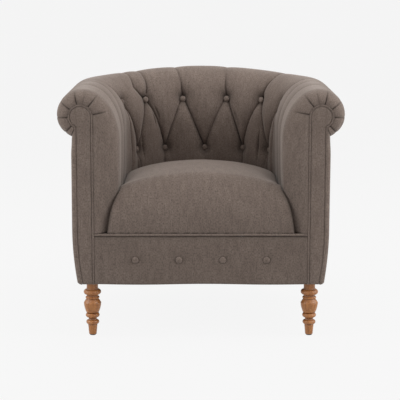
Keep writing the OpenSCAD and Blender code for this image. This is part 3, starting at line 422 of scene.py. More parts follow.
def fold_lines(wall):
    """Every fold as (points in (s, t), depth at each point, width over which the cloth rounds off, sharpness
    of its crease)."""
    b = wall.buttons
    lines = []
    high = {c: (b.shift + c * b.high_pitch, wall.t_high) for c in UPPER}
    low = {c: (b.shift + c * b.low_pitch, wall.t_low) for c in LOWER}
    for upper, lower, bow, sharp in DIAMONDS:
        points = bowed(high[upper], low[lower], bow)
        depth = b.fold_depth * np.interp(np.linspace(0, 1, len(points)), *DIAMOND_DEPTHS)
        lines.append((points, depth, b.fold_width, sharp))
    for c in LOWER:
        s, t = low[c]
        points = bowed((s, t), (s + 0.006 * c, 0), 0.003 * c)
        lines.append((points, np.full(len(points), b.fold_depth * 0.9), b.fold_width, 0.12))
    for c, marks in PLEATS:
        run = np.array(marks)
        s = high[c][0] + run[:, 0]
        climb = [wall.t_at(b.high_z + k * (wall.sizes.arm_height - b.high_z)) + max(k - 1, 0) * PAST_CREST
                 for k in run[:, 1]]
        depth = b.fold_depth * np.interp(run[:, 1], *PLEAT_DEPTHS)
        lines.append((np.stack([s, climb], -1), depth, b.fold_width * 0.85, 1.4))
    for start, end, bow, sharp in FINE_CREASES:
        climb = wall.t_high - wall.t_low
        points = bowed(*[(b.shift + place, wall.t_low + part * climb) for place, part in (start, end)], bow)
        lines.append((points, 0.012 * np.sin(np.linspace(0.25, np.pi, len(points))), 0.016, sharp * 2))
    for side in SIDES.values():
        corner = (float(wall.seam(side, b.low_z)), wall.t_low)
        down = bowed(high[EDGE_COLUMN * side], corner, 0.004 * side)
        foot = bowed(corner, (corner[0] + 0.004 * side, 0), 0)
        seam = np.concatenate([down, foot[1:]])
        lines.append((seam, np.full(len(seam), 0.008), 0.030, 2.0))
        for k in FLUTES:
            s = side * (wall.s_front - k * wall.sizes.arm_run)
            points = bowed((s, 0), (s - side * 0.010, wall.t_crest + 0.05), side * 0.006, 8)
            depth = np.interp(np.linspace(0, 1, len(points)), *FLUTE_DEPTHS)
            lines.append((points, depth, 0.058, 1.3))
    return lines


def folds(wall, s, t, lines):
    """Depth of the folds and button pits at (s, t), and the painted shade there: darker along the fold lines,
    round the pits and towards the foot of the face. Each fold falls off as a quarter circle of its distance,
    with a narrow sharp dip of exponential shape along its line; the folds add up by their fourth powers, and
    each pit is an exponential cusp."""
    total = np.zeros(s.shape)
    crease_and_painted_shade = np.zeros(s.shape)
    for points, depths, width, sharp in lines:
        line = np.zeros(s.shape)
        for (s0, t0), (s1, t1), d0, d1 in zip(points, points[1:], depths, depths[1:]):
            run, rise = s1 - s0, t1 - t0
            part = np.clip(((s - s0) * run + (t - t0) * rise) / (run ** 2 + rise ** 2), 0, 1)
            away = np.hypot(s - s0 - part * run, t - t0 - part * rise)
            depth = d0 + (d1 - d0) * part
            line = np.maximum(line, depth * (1 - rounded(away / width)))
            crease_and_painted_shade = np.maximum(crease_and_painted_shade, sharp * (depth / FULL_FOLD) ** 2 * peak(away, CREASE_WIDTH))
        total = total + line ** 4
    total = total ** 0.25 + CREASE_DEPTH * crease_and_painted_shade
    # Painted shade along the sharp fold lines
    shade = CREASE_SHADE * np.minimum(crease_and_painted_shade, 1)
    deepest = wall.sizes.pad_in - wall.buttons.pit_n
    rows = ((UPPER, wall.buttons.high_pitch, wall.t_high), (LOWER, wall.buttons.low_pitch, wall.t_low))
    for columns, pitch, height in rows:
        for c in columns:
            away = np.hypot(s - wall.buttons.shift - c * pitch, t - height)
            total = total + (deepest - wall.buttons.fold_depth) * peak(away, PIT_WIDTH, PIT_POWER)
            # Painted shade round each button pit
            shade = np.maximum(shade, PIT_SHADE * peak(away, PIT_SHADE_WIDTH, PIT_SHADE_POWER))
    # Painted shade, darker towards the foot of the face
    foot = FOOT_SHADE * peak(np.maximum(t - FOOT_FULL, 0), FOOT_FADE)
    return np.minimum(total, deepest), np.maximum(shade, foot)


# Meshes

def grid_faces(columns, rows, closed=False):
    """Quads of a grid of points; closed joins the last row of each column to the first."""
    index = np.arange(columns * rows).reshape(columns, rows)
    near = index if closed else index[:, :-1]
    far = np.roll(index, -1, axis=1) if closed else index[:, 1:]
    return np.stack([near[:-1], near[1:], far[1:], far[:-1]], -1).reshape(-1, 4).tolist()


def ring_part(rings, outer):
    """Faces of a closed solid through equal rings. Its ends are strips from the first points of the ring,
    the outer ones, to the rest."""
    columns, count = rings.shape[:2]
    faces = grid_faces(columns, count, closed=True)
    mate = count - 1 - np.round(np.arange(outer) * (count - outer - 1) / (outer - 1)).astype(int)
    for first in (0, (columns - 1) * count):
        for j in range(outer - 1):
            faces.append([first + int(k) for k in dict.fromkeys([j, j + 1, mate[j + 1], mate[j]])])
    return faces


def add_slab(name, front, back, uv, inner_uv=None, crease_and_painted_shade=None):
    """A closed piece between a front grid and a back grid with the same columns. The back has the front's
    pattern coordinates unless it has its own, and no painted shade."""
    rings = np.concatenate([front, back[:, ::-1]], axis=1)
    behind = uv if inner_uv is None else inner_uv
    uv = np.concatenate([uv, behind[:, ::-1]], axis=1)
    painted_shades = [] if crease_and_painted_shade is None else [np.pad(crease_and_painted_shade, ((0, 0), (0, back.shape[1])))]
    return add_piece(name, [(rings, ring_part(rings, front.shape[1]), uv, *painted_shades)])


def grid(*values):
    """Arrays spread over one grid and stacked as coordinates."""
    return np.stack(np.broadcast_arrays(*values), -1)


def lengths(points, axis):
    """Length from the first point along an axis of a grid of points."""
    first = points.take([0], axis=axis)
    return np.cumsum(np.linalg.norm(np.diff(points, axis=axis, prepend=first), axis=-1), axis=axis)


def tube_rings(route, radius, axis, sides=14):
    """Circles across a route that lies in a plane: the circle's axes are the plane's normal and the
    direction across the mean of the two neighbouring steps."""
    ahead = np.diff(route, axis=0)
    ahead = ahead / np.linalg.norm(ahead, axis=1, keepdims=True)
    along = np.concatenate([ahead[:1], ahead[:-1] + ahead[1:], ahead[-1:]])
    across = np.cross(along, axis)
    across = across / np.linalg.norm(across, axis=1, keepdims=True)
    turn = np.linspace(0, 2 * np.pi, sides, endpoint=False)[None, :, None]
    radius = np.broadcast_to(radius, len(route))[:, None, None]
    return route[:, None] + radius * (np.cos(turn) * across[:, None] + np.sin(turn) * np.array(axis))


def tube_part(rings):
    """Faces of a tube through rings, closed by a flat face at each end."""
    columns, count = rings.shape[:2]
    last = (columns - 1) * count
    return grid_faces(columns, count, closed=True) + [list(range(count)), list(range(last, last + count))]


def add_piece(name, parts):
    """A mesh object from parts of (points, faces, uv, shade): an array of places, a list of faces, an array
    of pattern coordinates in metres and, on cloth, the painted shade at each point, 0 to 1. Equal points
    are merged and the faces turned outwards."""
    points, faces, marks, painted_shades, first = [], [], [], [], 0
    for place, part_faces, uv, *crease_and_painted_shade in parts:
        place = place.reshape(-1, 3)
        points.append(place)
        marks.append(uv.reshape(-1, 2))
        painted_shades.append(crease_and_painted_shade[0].ravel() if crease_and_painted_shade else np.zeros(len(place)))
        faces += [[first + k for k in face] for face in part_faces]
        first += len(place)
    mesh = bpy.data.meshes.new(name)
    mesh.from_pydata(np.concatenate(points).tolist(), [], faces)
    corners = np.zeros(len(mesh.loops), int)
    mesh.loops.foreach_get("vertex_index", corners)
    layer = mesh.uv_layers.new(name="Cloth")
    layer.data.foreach_set("uv", np.concatenate(marks)[corners].astype(np.float32).ravel())
    # Painted shade, by which the cloth material darkens each point
    dark = mesh.attributes.new("crease_and_painted_shade", "FLOAT", "POINT")
    dark.data.foreach_set("value", np.clip(np.concatenate(painted_shades), 0, 1).astype(np.float32))
    work = bmesh.new()
    work.from_mesh(mesh)
    bmesh.ops.remove_doubles(work, verts=work.verts, dist=1e-6)
    bmesh.ops.recalc_face_normals(work, faces=work.faces)
    work.to_mesh(mesh)
    work.free()
    mesh.polygons.foreach_set("use_smooth", np.ones(len(mesh.polygons), bool))
    piece = bpy.data.objects.new(name, mesh)
    bpy.context.scene.collection.objects.link(piece)
    return piece


def dress(piece, material, nodes=()):
    """Gives a piece its material, attaches it to the root body, and hides the CAD nodes it stands for."""
    piece.data.materials.clear()
    piece.data.materials.append(material)
    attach(piece, "root")
    if nodes:
        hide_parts(*nodes)


# Materials

def make_node(tree, kind, **values):
    """A node with its sockets and settings set by name. A value that is a socket is linked."""
    made = tree.nodes.new(kind)
    for key, value in values.items():
        if isinstance(value, bpy.types.NodeSocket):
            tree.links.new(value, made.inputs[key])
        elif key in made.inputs:
            made.inputs[key].default_value = value
        else:
            setattr(made, key, value)
    return made


def mix_colours(tree, factor, a, b):
    """A mix of two colours by a factor socket. Each colour is a socket or three numbers."""
    mix = tree.nodes.new("ShaderNodeMix")
    mix.data_type = "RGBA"
    tree.links.new(factor, mix.inputs[0])
    for slot_index, value in ((6, a), (7, b)):
        if isinstance(value, bpy.types.NodeSocket):
            tree.links.new(value, mix.inputs[slot_index])
        else:
            mix.inputs[slot_index].default_value = (*value, 1)
    return mix.outputs[2]


def spread(tree, value, low, high):
    """A value stretched so that low becomes 0 and high becomes 1."""
    ends = {"From Min": low, "From Max": high}
    return make_node(tree, "ShaderNodeMapRange", Value=value, **ends).outputs["Result"]


def noise(tree, coordinates, scale, size=(1, 1, 1), detail=3.0):
    """A noise pattern over coordinates in metres, finer along an axis whose size is larger."""
    place = make_node(tree, "ShaderNodeMapping", Scale=size, Vector=coordinates).outputs["Vector"]
    return make_node(
        tree, "ShaderNodeTexNoise", Scale=scale, Detail=detail, Roughness=0.6, Vector=place).outputs["Fac"]


def mark(tree, name):
    """A number that the mesh holds at each of its points."""
    return make_node(tree, "ShaderNodeAttribute", attribute_name=name).outputs["Fac"]


def scaled(colour_value, part):
    """A colour times a number."""
    return tuple(c * part for c in colour_value)


def new_material(name, roughness, **sockets):
    """A material with the even values of its finish on the shader itself."""
    material = bpy.data.materials.new(name)
    material.use_nodes = True
    shader = material.node_tree.nodes["Principled BSDF"]
    shader.inputs["Roughness"].default_value = roughness
    for key, value in sockets.items():
        shader.inputs[key.replace("_", " ")].default_value = value
    return material, material.node_tree, shader


def finish(tree, shader, tone, height, distance, strength):
    """Gives a shader its colour, and relief from a height socket, distance deep."""
    tree.links.new(tone, shader.inputs["Base Color"])
    bump = make_node(tree, "ShaderNodeBump", Strength=strength, Distance=distance, Height=height)
    tree.links.new(bump.outputs["Normal"], shader.inputs["Normal"])


def cloth_material(name, look, tone=1.0):
    """Brushed cloth: long soft streaks and clouds of nap between two tones, a fine grain for its relief, a
    pale sheen, and painted shade from the mesh's attribute in its folds, pits, seams and lower parts."""
    material, tree, shader = new_material(
        name, 0.92, Sheen_Weight=look.sheen, Sheen_Roughness=0.42, Sheen_Tint=(0.86, 0.80, 0.75, 1),
        Specular_IOR_Level=0.18)
    place = make_node(tree, "ShaderNodeTexCoord").outputs["UV"]
    streaks = noise(tree, place, 1.0, (85, 24, 85), 4.0)
    clouds = noise(tree, place, 9.0, detail=4.0)
    mottle = noise(tree, place, 1.0, (150, 70, 150), 3.5)
    fleck = noise(tree, place, 1.0, (300, 190, 300), 2.5)
    base, nap = scaled(look.base, tone), scaled(look.nap, tone)
    dark, deep = scaled(base, 0.76), scaled(base, 0.62)
    colour_one = mix_colours(tree, spread(tree, streaks, 0.34, 0.66), dark, nap)
    colour_two = mix_colours(tree, spread(tree, clouds, 0.36, 0.64), base, nap)
    half = mix_colours(tree, spread(tree, mottle, 0.32, 0.68), colour_one, colour_two)
    half = mix_colours(tree, spread(tree, fleck, 0.28, 0.58), deep, half)
    # Painted shade: mixes the cloth towards a darker copy of its colour by the mesh's shade attribute
    shaded = mix_colours(tree, mark(tree, "crease_and_painted_shade"), half, scaled(base, look.crease_and_painted_shade))
    finish(tree, shader, shaded, fleck, 0.0006, 0.55)
    return material


def wood_material(name, light, dark, roughness, coat=0.0, grooves=False):
    """Wood: long grain up the object's Z axis with fine pores, and painted shade that darkens the grooves
    where the turning is deep.
    """
    material, tree, shader = new_material(name, roughness, Coat_Weight=coat, Coat_Roughness=0.25)
    place = make_node(tree, "ShaderNodeTexCoord").outputs["Object"]
    grain = noise(tree, place, 1.0, (150, 150, 9), 5.0)
    pores = noise(tree, place, 1.0, (700, 700, 30), 2.0)
    tone = mix_colours(tree, spread(tree, grain, 0.36, 0.70), light, dark)
    tone = mix_colours(tree, spread(tree, pores, 0.60, 0.78), tone, dark)
    if grooves:
        # Painted shade in the grooves of the turning
        tone = mix_colours(tree, mark(tree, "painted_groove_shade"), tone, scaled(dark, 0.45))
    finish(tree, shader, tone, pores, 0.0002, 0.4)
    return material


def plain_material(name, light, dark, roughness, scale, depth, metallic=0.0):
    """A finish of two close tones in a fine uneven pattern, with the same pattern as its relief."""
    material, tree, shader = new_material(name, roughness, Metallic=metallic)
    place = make_node(tree, "ShaderNodeTexCoord").outputs["Object"]
    pattern = noise(tree, place, scale, detail=4.0)
    tone = mix_colours(tree, spread(tree, pattern, 0.3, 0.7), light, dark)
    finish(tree, shader, tone, pattern, depth, 0.5)
    return material


def cloth(scene, name="brushed_cloth", tone=1.0):
    """The upholstery cloth, made once under each name."""
    return bpy.data.materials.get(name) or cloth_material(name, scene.tub_cloth, tone)


# Pieces

class TUBCHAIR_OT_back(Operator):
    """Inside back, deep-buttoned, with its roll"""
    bl_idname = "tubchair.back"
    bl_label = "Buttoned back"

    def execute(self, context):
        wall = Wall(context.scene)
        shift, grow = wall.buttons.shift, wall.growth
        v, t = wall.rows()
        column = np.linspace(-EDGE_COLUMN, EDGE_COLUMN, 380)[:, None]
        s = shift + column * wall.pitch(wall.button_level(v, wall.section(v, 0)[1]))
        n, z = wall.section(v, grow(s))
        # dark is painted shade: along the fold lines, round the button pits and towards the foot of the face
        depth, dark = folds(wall, s, np.broadcast_to(t, s.shape), fold_lines(wall))
        front = wall.point(s, *wall.pull_back(n, z, depth))
        v_in = np.linspace(0, 3, CORE_ROWS)[None, :]
        s_in = shift + column * wall.pitch(wall.core(v_in, 0)[1])
        back = wall.point(s_in, *wall.core(v_in, grow(s_in)))
        piece = add_slab("buttoned_back", front, back, grid(s, t), grid(s_in, v_in * INNER_PATTERN), dark)
        dress(piece, cloth(context.scene),
              ["inside_back_cover", "back_foam", "back_roll_core", "back_webbing"])
        return {"FINISHED"}


# Gathers round the scroll head: direction in degrees from outwards to upwards, and strength
GATHERS = ((170, 0.9), (129, 1.0), (102, 0.35), (76, 1.0), (36, 1.0), (-3, 0.9), (-47, 1.0))
# Half widths of a gather's dip, of the crease in it and of the painted shade along it, which has a power of
# its own
GATHER_WIDTH, GATHER_CREASE, GATHER_SHADE, GATHER_POWER = 0.018, 0.0018, 0.0019, 1.4
# Where the gathers fade: close to the facing, out from the scroll head, and behind the front
GATHER_START, GATHER_REACH, GATHER_RUN = 0.005, 0.038, 0.040
# How far behind the front the gathers pull to, and how far the cloth bulges between them
GATHER_AIM, BULGE = 0.050, 0.0045
# Height from which the front turns from soft at the seat to round at the roll, and over which it does
SOFT_TOP, SOFT_FADE = 0.44, 0.08
# Depth over which the inner side keeps the outline of the front
RIM_DEPTH = 0.030
# Strength of the painted shade beside the front's seams, on the padding and on the facing, and its width
SEAM_SHADE, FACING_SHADE, EDGE_SHADE_WIDTH = 0.34, 0.22, 0.0018
# Facing: line its crown rises from, the crown's parts and ripple, the roundings of its foot and top, and the
# part of the head's radius below its middle where the straight rows end
FACING_FACE, FACING_CROWN, FACING_RIPPLE = 0.003, ((0.0022, 0.020), (0.0016, 0.003)), (0.0004, 0.012, 0.020)
FACING_FOOT, FACING_TOP, HEAD_PART = 0.006, 0.010, 0.95


class TUBCHAIR_OT_arms(Operator):
    """Inside arms with their rolls, rounded and gathered at the front"""
    bl_idname = "tubchair.arms"
    bl_label = "Padded arms"

    def execute(self, context):
        wall = Wall(context.scene)
        for name, side in SIDES.items():
            self.arm(context.scene, wall, name, side)
        return {"FINISHED"}

    def arm(self, scene, wall, name, side):
        """One arm. Columns run from the front, closely spaced where it rounds, to the seam with the back.
        Near the front each section shrinks onto the outline of the facing, as a quarter circle that is mixed
        half and half with a soft step at the seat."""
        fronts = wall.fronts
        v, t = wall.rows()
        near = FRONT_START + (fronts.round_pad + 0.002) * (1 - np.cos(np.linspace(0, np.pi / 2, 44)))[:, None]
        far = np.linspace(0, 1, 172)[1:, None]

        def columns(level):
            """Distance behind the front of each column, for rows whose seam with the back is at a level."""
            first = wall.s_front - near[-1]
            last = side * wall.seam(side, level) + SEAM_GAP
            return np.concatenate([near + 0 * last, wall.s_front - (first + (last - first) * far)])

        u = columns(wall.button_level(v, wall.section(v, 0)[1]))
        n, z = wall.section(np.broadcast_to(v, u.shape), 0)
        t = np.broadcast_to(t, u.shape)
        s = side * (wall.s_front - u)
        depth, dark = folds(wall, s, t, fold_lines(wall))
        n, z = wall.pull_back(n, z, depth)
        edge_n, edge_z = wall.front_outline(v)
        part = np.clip((t - wall.t_low) / (wall.t_high - wall.t_low), 0, 1)
        reach = fronts.round_pad + (fronts.round_roll - fronts.round_pad) * part
        soft = 0.5 * (1 - smooth((wall.button_level(v, z) - SOFT_TOP) / SOFT_FADE))
        grown = front_share(u - FRONT_START, reach, soft)
        # Painted shade beside the seam with the facing
        seam = SEAM_SHADE * peak(grown * np.hypot(n - edge_n, z - edge_z), EDGE_SHADE_WIDTH)
        n, z = edge_n + (n - edge_n) * grown, edge_z + (z - edge_z) * grown
        n, z, u, gathers = self.gather(wall, n, z, u, grown, v)
        # Painted shade of the folds, the gathers and the seam
        dark = np.maximum(np.maximum(dark * grown, gathers), seam)
        front = wall.arm_point(side, u, n, z)
        v_in = np.linspace(0, 3, CORE_ROWS)[None, :]
        core_n, core_z = wall.core(v_in, 0)
        rim_n, rim_z = wall.front_outline(v_in)
        u_in = columns(core_z)
        inward = smooth((u_in - RIM_DEPTH) / RIM_DEPTH)
        back = wall.arm_point(
            side, u_in, rim_n + (core_n - rim_n) * inward, rim_z + (core_z - rim_z) * inward)
        piece = add_slab(name + "_arm_padding", front, back, grid(lengths(front, 0) * side, t),
                         grid(-u_in, v_in * INNER_PATTERN), dark)
        inside = ("_inside_arm_cover", "_arm_foam", "_roll_core", "_arm_webbing")
        dress(piece, cloth(scene), [name + end for end in inside])

    def gather(self, wall, n, z, u, grown, v):
        """Short gathers that radiate from the scroll head, and the bulge of the cloth between them. A gather
        is a wide dip with a narrower, sharper dip along it, and pulls the cloth towards a point behind the
        head;
        its line also gets painted shade."""
        fronts = wall.fronts
        radius = np.hypot(n - wall.head_n, z - fronts.head_z)
        angle = np.arctan2(z - fronts.head_z, n - wall.head_n)
        pull, crease_and_painted_shade = np.zeros(n.shape), np.zeros(n.shape)
        for direction, strength in GATHERS:
            away = np.abs((angle - math.radians(direction) + np.pi) % (2 * np.pi) - np.pi) * radius
            shape = 0.45 * (1 - rounded(away / GATHER_WIDTH)) + 0.55 * peak(away, GATHER_CREASE)
            pull = np.maximum(pull, strength * shape)
            # Painted shade along each gather's line
            crease_and_painted_shade = np.maximum(crease_and_painted_shade, strength * peak(away, GATHER_SHADE, GATHER_POWER))
        away = np.maximum(radius - wall.head_r - wall.edge_gap, 0)
        fade = rounded(away / GATHER_START) * peak(away, GATHER_REACH, 4)
        fade = fade * peak(u, GATHER_RUN, 2) * smooth((v - 0.92) / 0.1)
        aim = grid(wall.head_n - n, fronts.head_z - z, GATHER_AIM - u)
        aim = aim / np.linalg.norm(aim, axis=-1, keepdims=True)
        step_n, step_z, step_u = np.moveaxis(aim * (fronts.gather_depth * pull * fade)[..., None], -1, 0)
        bulge = BULGE * 4 * grown * (1 - grown)
        return n + step_n, z + step_z, u + step_u - bulge, crease_and_painted_shade * fade


class TUBCHAIR_OT_arm_fronts(Operator):
    """Padded facings on the arm fronts and the piping round them"""
    bl_idname = "tubchair.arm_fronts"
    bl_label = "Arm fronts"

    def execute(self, context):
        wall = Wall(context.scene)
        for name, side in SIDES.items():
            self.facing(context.scene, wall, name, side)
            self.piping(context.scene, wall, name, side)
        return {"FINISHED"}

    def facing(self, scene, wall, name, side):
        """Rows run up the facing between its two edges, by equal angles round the head; the front is crowned,
        with rounded edges."""
        fronts, gap = wall.fronts, wall.edge_gap
        radius, bottom = wall.head_r - gap, wall.sizes.leg_height
        straight = np.linspace(bottom, fronts.head_z - radius * HEAD_PART, 110)
        turn = np.linspace(-math.asin(HEAD_PART), np.pi / 2, 40)[1:]
        z = np.concatenate([straight, fronts.head_z + radius * np.sin(turn)])[:, None]
        half = np.sqrt(np.maximum(radius ** 2 - (z - fronts.head_z) ** 2, 0))
        above = z > fronts.head_z
        inner = np.where(above, wall.head_n - half, wall.facing_n + gap)
        edge = wall.outer_face(z) - fronts.facing_in - gap
        head = wall.head_n + half
        outer = np.where(above, head, np.maximum(edge, np.where(half > 0, head, -1)))
        across = (1 - np.cos(np.linspace(0, np.pi, 25)))[None, :] / 2
        n = inner + (outer - inner) * across
        ends = rounded((z - bottom) / FACING_FOOT) * rounded((fronts.head_z + radius - z) / FACING_TOP)
        inset = np.minimum(across, 1 - across) * (outer - inner)
        crown = crowned(inset, *FACING_CROWN) * ends
        crown = crown + ripples(n, z, 5, FACING_RIPPLE) * ends * rounded(inset / 0.008)
        front = wall.arm_point(side, FACING_FACE - crown, n, z)
        back = wall.arm_point(side, fronts.piping, n, z)
        # Painted shade along the facing's edges
        dark = FACING_SHADE * peak(inset, EDGE_SHADE_WIDTH)
        piece = add_slab(name + "_arm_front_pad", front, back, grid(n, z), crease_and_painted_shade=dark)
        dress(piece, cloth(scene), [name + "_arm_facing"])

    def piping(self, scene, wall, name, side):
        """A cord up the inner edge, round the scroll head, and down the outer edge."""
        fronts = wall.fronts
        bottom, radius = wall.sizes.leg_height, wall.head_r
        end = -math.acos((wall.facing_out - wall.head_n) / radius)
        up = np.linspace(bottom, fronts.head_z, 100)[:-1]
        turn = np.linspace(np.pi, end, 60)
        down = np.linspace(fronts.head_z + radius * math.sin(end), bottom, 95)[1:]
        n = np.concatenate([np.full(len(up), wall.facing_n), wall.head_n + radius * np.cos(turn),
                            wall.outer_face(down) - fronts.facing_in])
        z = np.concatenate([up, fronts.head_z + radius * np.sin(turn), down])
        route = wall.arm_point(side, fronts.piping / 2, n, z)
        add_cord(scene, name + "_arm_front_cord", route, fronts.piping / 2, name + "_facing_piping")


def add_cord(scene, name, route, radius, node):
    """A cloth-covered cord along a route across Y. Its thickness swells and shrinks a little, as piping
    puckers."""
    along = lengths(route, 0)
    thick = radius * (1 + 0.04 * ripple(along / 0.006, along * 0, 11, 7))
    rings = tube_rings(route, thick, (0, 1, 0))
    turn = np.linspace(0, 2 * np.pi * radius, rings.shape[1])
    piece = add_piece(name, [(rings, tube_part(rings), grid(turn[None, :], along[:, None]))])
    dress(piece, cloth(scene, "piping_cloth", 0.97), [node])


def button_points(diameter, thickness):
    """A covered button that faces -Y: a dome of a quarter ellipse, with fine gathers that grow to its rim and
    the cloth turned in behind it."""
    radius = diameter / 2
    rise = np.linspace(0, 1, 12)
    r = np.concatenate([radius * np.sin(rise * np.pi / 2), radius * np.array([0.97, 0.86, 0.5, 0])])
    y = np.concatenate([-thickness * np.cos(rise * np.pi / 2), thickness * np.array([0.12, 0.2, 0.22, 0.22])])
    turn = np.linspace(0, 2 * np.pi, 48, endpoint=False)[None, :]
    gathers = 1 + 0.022 * np.sin(11 * turn + 0.7) * (r[:, None] / radius) ** 4
    return grid(r[:, None] * np.cos(turn) * gathers, y[:, None], r[:, None] * np.sin(turn) * gathers)


def button_part(points, place, heading=0.0, tilt=0.0):
    """A button turned back by tilt, then to the wall's heading, and moved to its place."""
    x, y, z = points[..., 0], points[..., 1], points[..., 2]
    y, z = y * math.cos(tilt) + z * math.sin(tilt), z * math.cos(tilt) - y * math.sin(tilt)
    x, y = x * math.cos(heading) + y * math.sin(heading), y * math.cos(heading) - x * math.sin(heading)
    placed = np.stack([x, y, z], -1) + place
    uv = np.stack([points[..., 0], points[..., 2]], -1) + np.asarray(place)[:2]
    return placed, grid_faces(*placed.shape[:2], closed=True), uv


# How far the back's buttons stand out of their pits, how far the upper ones tilt back, and the thickness of
# the border's buttons
BUTTON_STAND, UPPER_TILT, BORDER_BUTTON = 0.009, math.radians(15), 0.0052


class TUBCHAIR_OT_buttons(Operator):
    """Covered buttons of the back and of the front border"""
    bl_idname = "tubchair.buttons"
    bl_label = "Covered buttons"

    def execute(self, context):
        wall = Wall(context.scene)
        b = wall.buttons
        points = button_points(b.diameter, b.thickness)
        parts = []
        rows = (UPPER, b.high_pitch, b.high_z, UPPER_TILT), (LOWER, b.low_pitch, b.low_z, 0)
        for columns, pitch, height, tilt in rows:
            for c in columns:
                s = b.shift + c * pitch
                place = wall.point(s, -b.pit_n - BUTTON_STAND, height)
                parts.append(button_part(points, place, wall.heading(s), tilt))
        material = cloth(context.scene)
        dress(add_piece("back_button_covers", parts), material, ["back_buttons"])
        small = button_points(b.border_diameter, BORDER_BUTTON)
        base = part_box("border_buttons")[1].y + 0.0004
        parts = [button_part(small, (x, base, b.border_z)) for x in border_places(b)]
        dress(add_piece("border_button_covers", parts), material, ["border_buttons"])
        return {"FINISHED"}


def border_places(b):
    """Sideways places of the border buttons."""
    return [(i - (b.border_count - 1) / 2) * b.border_pitch for i in range(b.border_count)]


# Share of the way back with closely spaced rows, the line where the seat starts, and the painted shade
# that darkens its front towards the foot, with the height over which it fades
NOSE_SHARE, SEAT_START = 0.16, 0.002
SEAT_FOOT_SHADE, SEAT_FOOT_FADE = 0.17, 0.13
# Painted shade at the edges of the seat, and its width at the arms and at the foot
SEAT_EDGE_SHADE, SEAT_SIDE_WIDTH, SEAT_LOW_WIDTH = 0.8, 0.006, 0.004
# How far the seat's edge falls to the back: in the middle, how much more at the arms, and the share of the
# way over which it does
SEAT_FALL, SEAT_SIDE_FALL, FALL_SHARE = 0.012, 0.018, 0.6
# Powers of the dome: of the way to the arms, of the way back, and of the sine
DOME_ACROSS, DOME_BACK, DOME_SINE = 1.65, 0.75, 0.7


class TUBCHAIR_OT_seat(Operator):
    """Tight seat with its crown and rounded front"""
    bl_idname = "tubchair.seat"
    bl_label = "Seat"

    def execute(self, context):
        scene = context.scene
        wall = Wall(scene)
        a = np.sin(np.linspace(-np.pi / 2, np.pi / 2, 141))[:, None]
        nose = NOSE_SHARE * (1 - np.cos(np.linspace(0, np.pi / 2, 60)))
        b = np.concatenate([nose, np.linspace(NOSE_SHARE, 1, 90)[1:]])[None, :]
        low = wall.sizes.pad_low
        x, y = np.moveaxis(seat_plan(wall, scene.tub_seat, a, b), -1, 0)
        z = seat_top(wall, scene.tub_seat, a, b, y)
        top = grid(x, y, z)
        # Painted shade along the seat's edges at the arms and at its foot
        across = peak((1 - np.abs(a)) * wall.half_w, SEAT_SIDE_WIDTH) * np.ones(b.shape)
        dark = SEAT_EDGE_SHADE * np.maximum(across, peak(z - low, SEAT_LOW_WIDTH))
        # Painted shade darkening the lower front
        dark = np.maximum(dark, SEAT_FOOT_SHADE * (1 - smooth((z - low) / SEAT_FOOT_FADE)))
        piece = add_slab("seat_padding", top, grid(x, y, low), grid(x, lengths(top, 1)), crease_and_painted_shade=dark)
        dress(piece, cloth(scene, "seat_cloth"),
              ["seat_cover", "seat_foam", "seat_hessian"])
        return {"FINISHED"}


def seat_side(wall, seat, b):
    """The seat's edge along an arm: it follows the arm's rounded front, then its inner face."""
    run = b * (wall.y_arm + wall.sizes.front)
    part = front_share(run, wall.fronts.round_pad, 0.5)
    inner = wall.half_w - wall.sizes.pad_in
    front = wall.half_w + wall.facing_n - wall.edge_gap
    x = np.minimum(seat.half_front + (inner - seat.half_front) * part, front + (inner - front) * part)
    return grid(x - TOUCH_GAP, run - wall.sizes.front + SEAT_START)


def seat_plan(wall, seat, a, b):
    """A patch between four edges: the front, the two arms and the back. Each pair of opposite edges is mixed,
    and the mix of the corners is taken away."""
    inner = wall.half_w - wall.sizes.pad_in - TOUCH_GAP
    front = grid(a * (seat.half_front - TOUCH_GAP), SEAT_START - wall.sizes.front)
    back = wall.point(a * wall.s_corner, -wall.sizes.pad_in - TOUCH_GAP, 0)[..., :2]
    right = seat_side(wall, seat, b)
    t, b = ((a + 1) / 2)[..., None], b[..., None]
    corner = (1 - b) * front + b * grid(a * inner, wall.y_arm)
    return (1 - b) * front + b * back + (1 - t) * right * (-1, 1) + t * right - corner


def seat_top(wall, seat, a, b, y):
    """The seat's height: a quarter ellipse over its front to an edge that falls a little to the back, and on
    it a dome, a power of the way to the arms times a sine of the way back."""
    low = wall.sizes.pad_low
    dome = (1 - np.abs(a) ** DOME_ACROSS) * np.sin(np.pi * b ** DOME_BACK) ** DOME_SINE
    edge = seat.crown - seat.dome - low - (SEAT_FALL + SEAT_SIDE_FALL * a * a) * smooth(b / FALL_SHARE)
    return low + rounded((y + wall.sizes.front - SEAT_START) / seat.nose) * edge + seat.dome * dome


# Border: how far it stands out before its crown, the parts of the crown, and its ripples; the dip round a
# button, its depth, width and power, and how much shorter than wide it is; the pucker above a button, its
# depth, width, place and height; the ripples of its lower edge and of the cord above it
BORDER_FACE, BORDER_CROWN = 0.0012, ((0.0012, 0.030), (0.0030, 0.004))
BORDER_RIPPLES = (0.0005, 0.030, 0.060), (0.0004, 0.009, 0.080)
DIP, DIP_WIDTH, DIP_POWER, DIP_SQUEEZE = 0.0044, 0.0145, 1.5, 1.1
PUCKER, PUCKER_WIDTH, PUCKER_UP, PUCKER_HEIGHT = 0.0005, 0.0035, 0.030, 0.020
SAG_RIPPLE, CORD_RIPPLE = (0.0026, 0.045, 1), (0.0005, 0.05, 1)
# Painted shade of the border: all over it, under its top edge and beside its buttons, with the widths of the
# last two
BORDER_SHADE, TOP_SHADE, TOP_SHADE_WIDTH, RIM_SHADE, RIM_SHADE_WIDTH = 0.15, 0.60, 0.003, 0.9, 0.0018


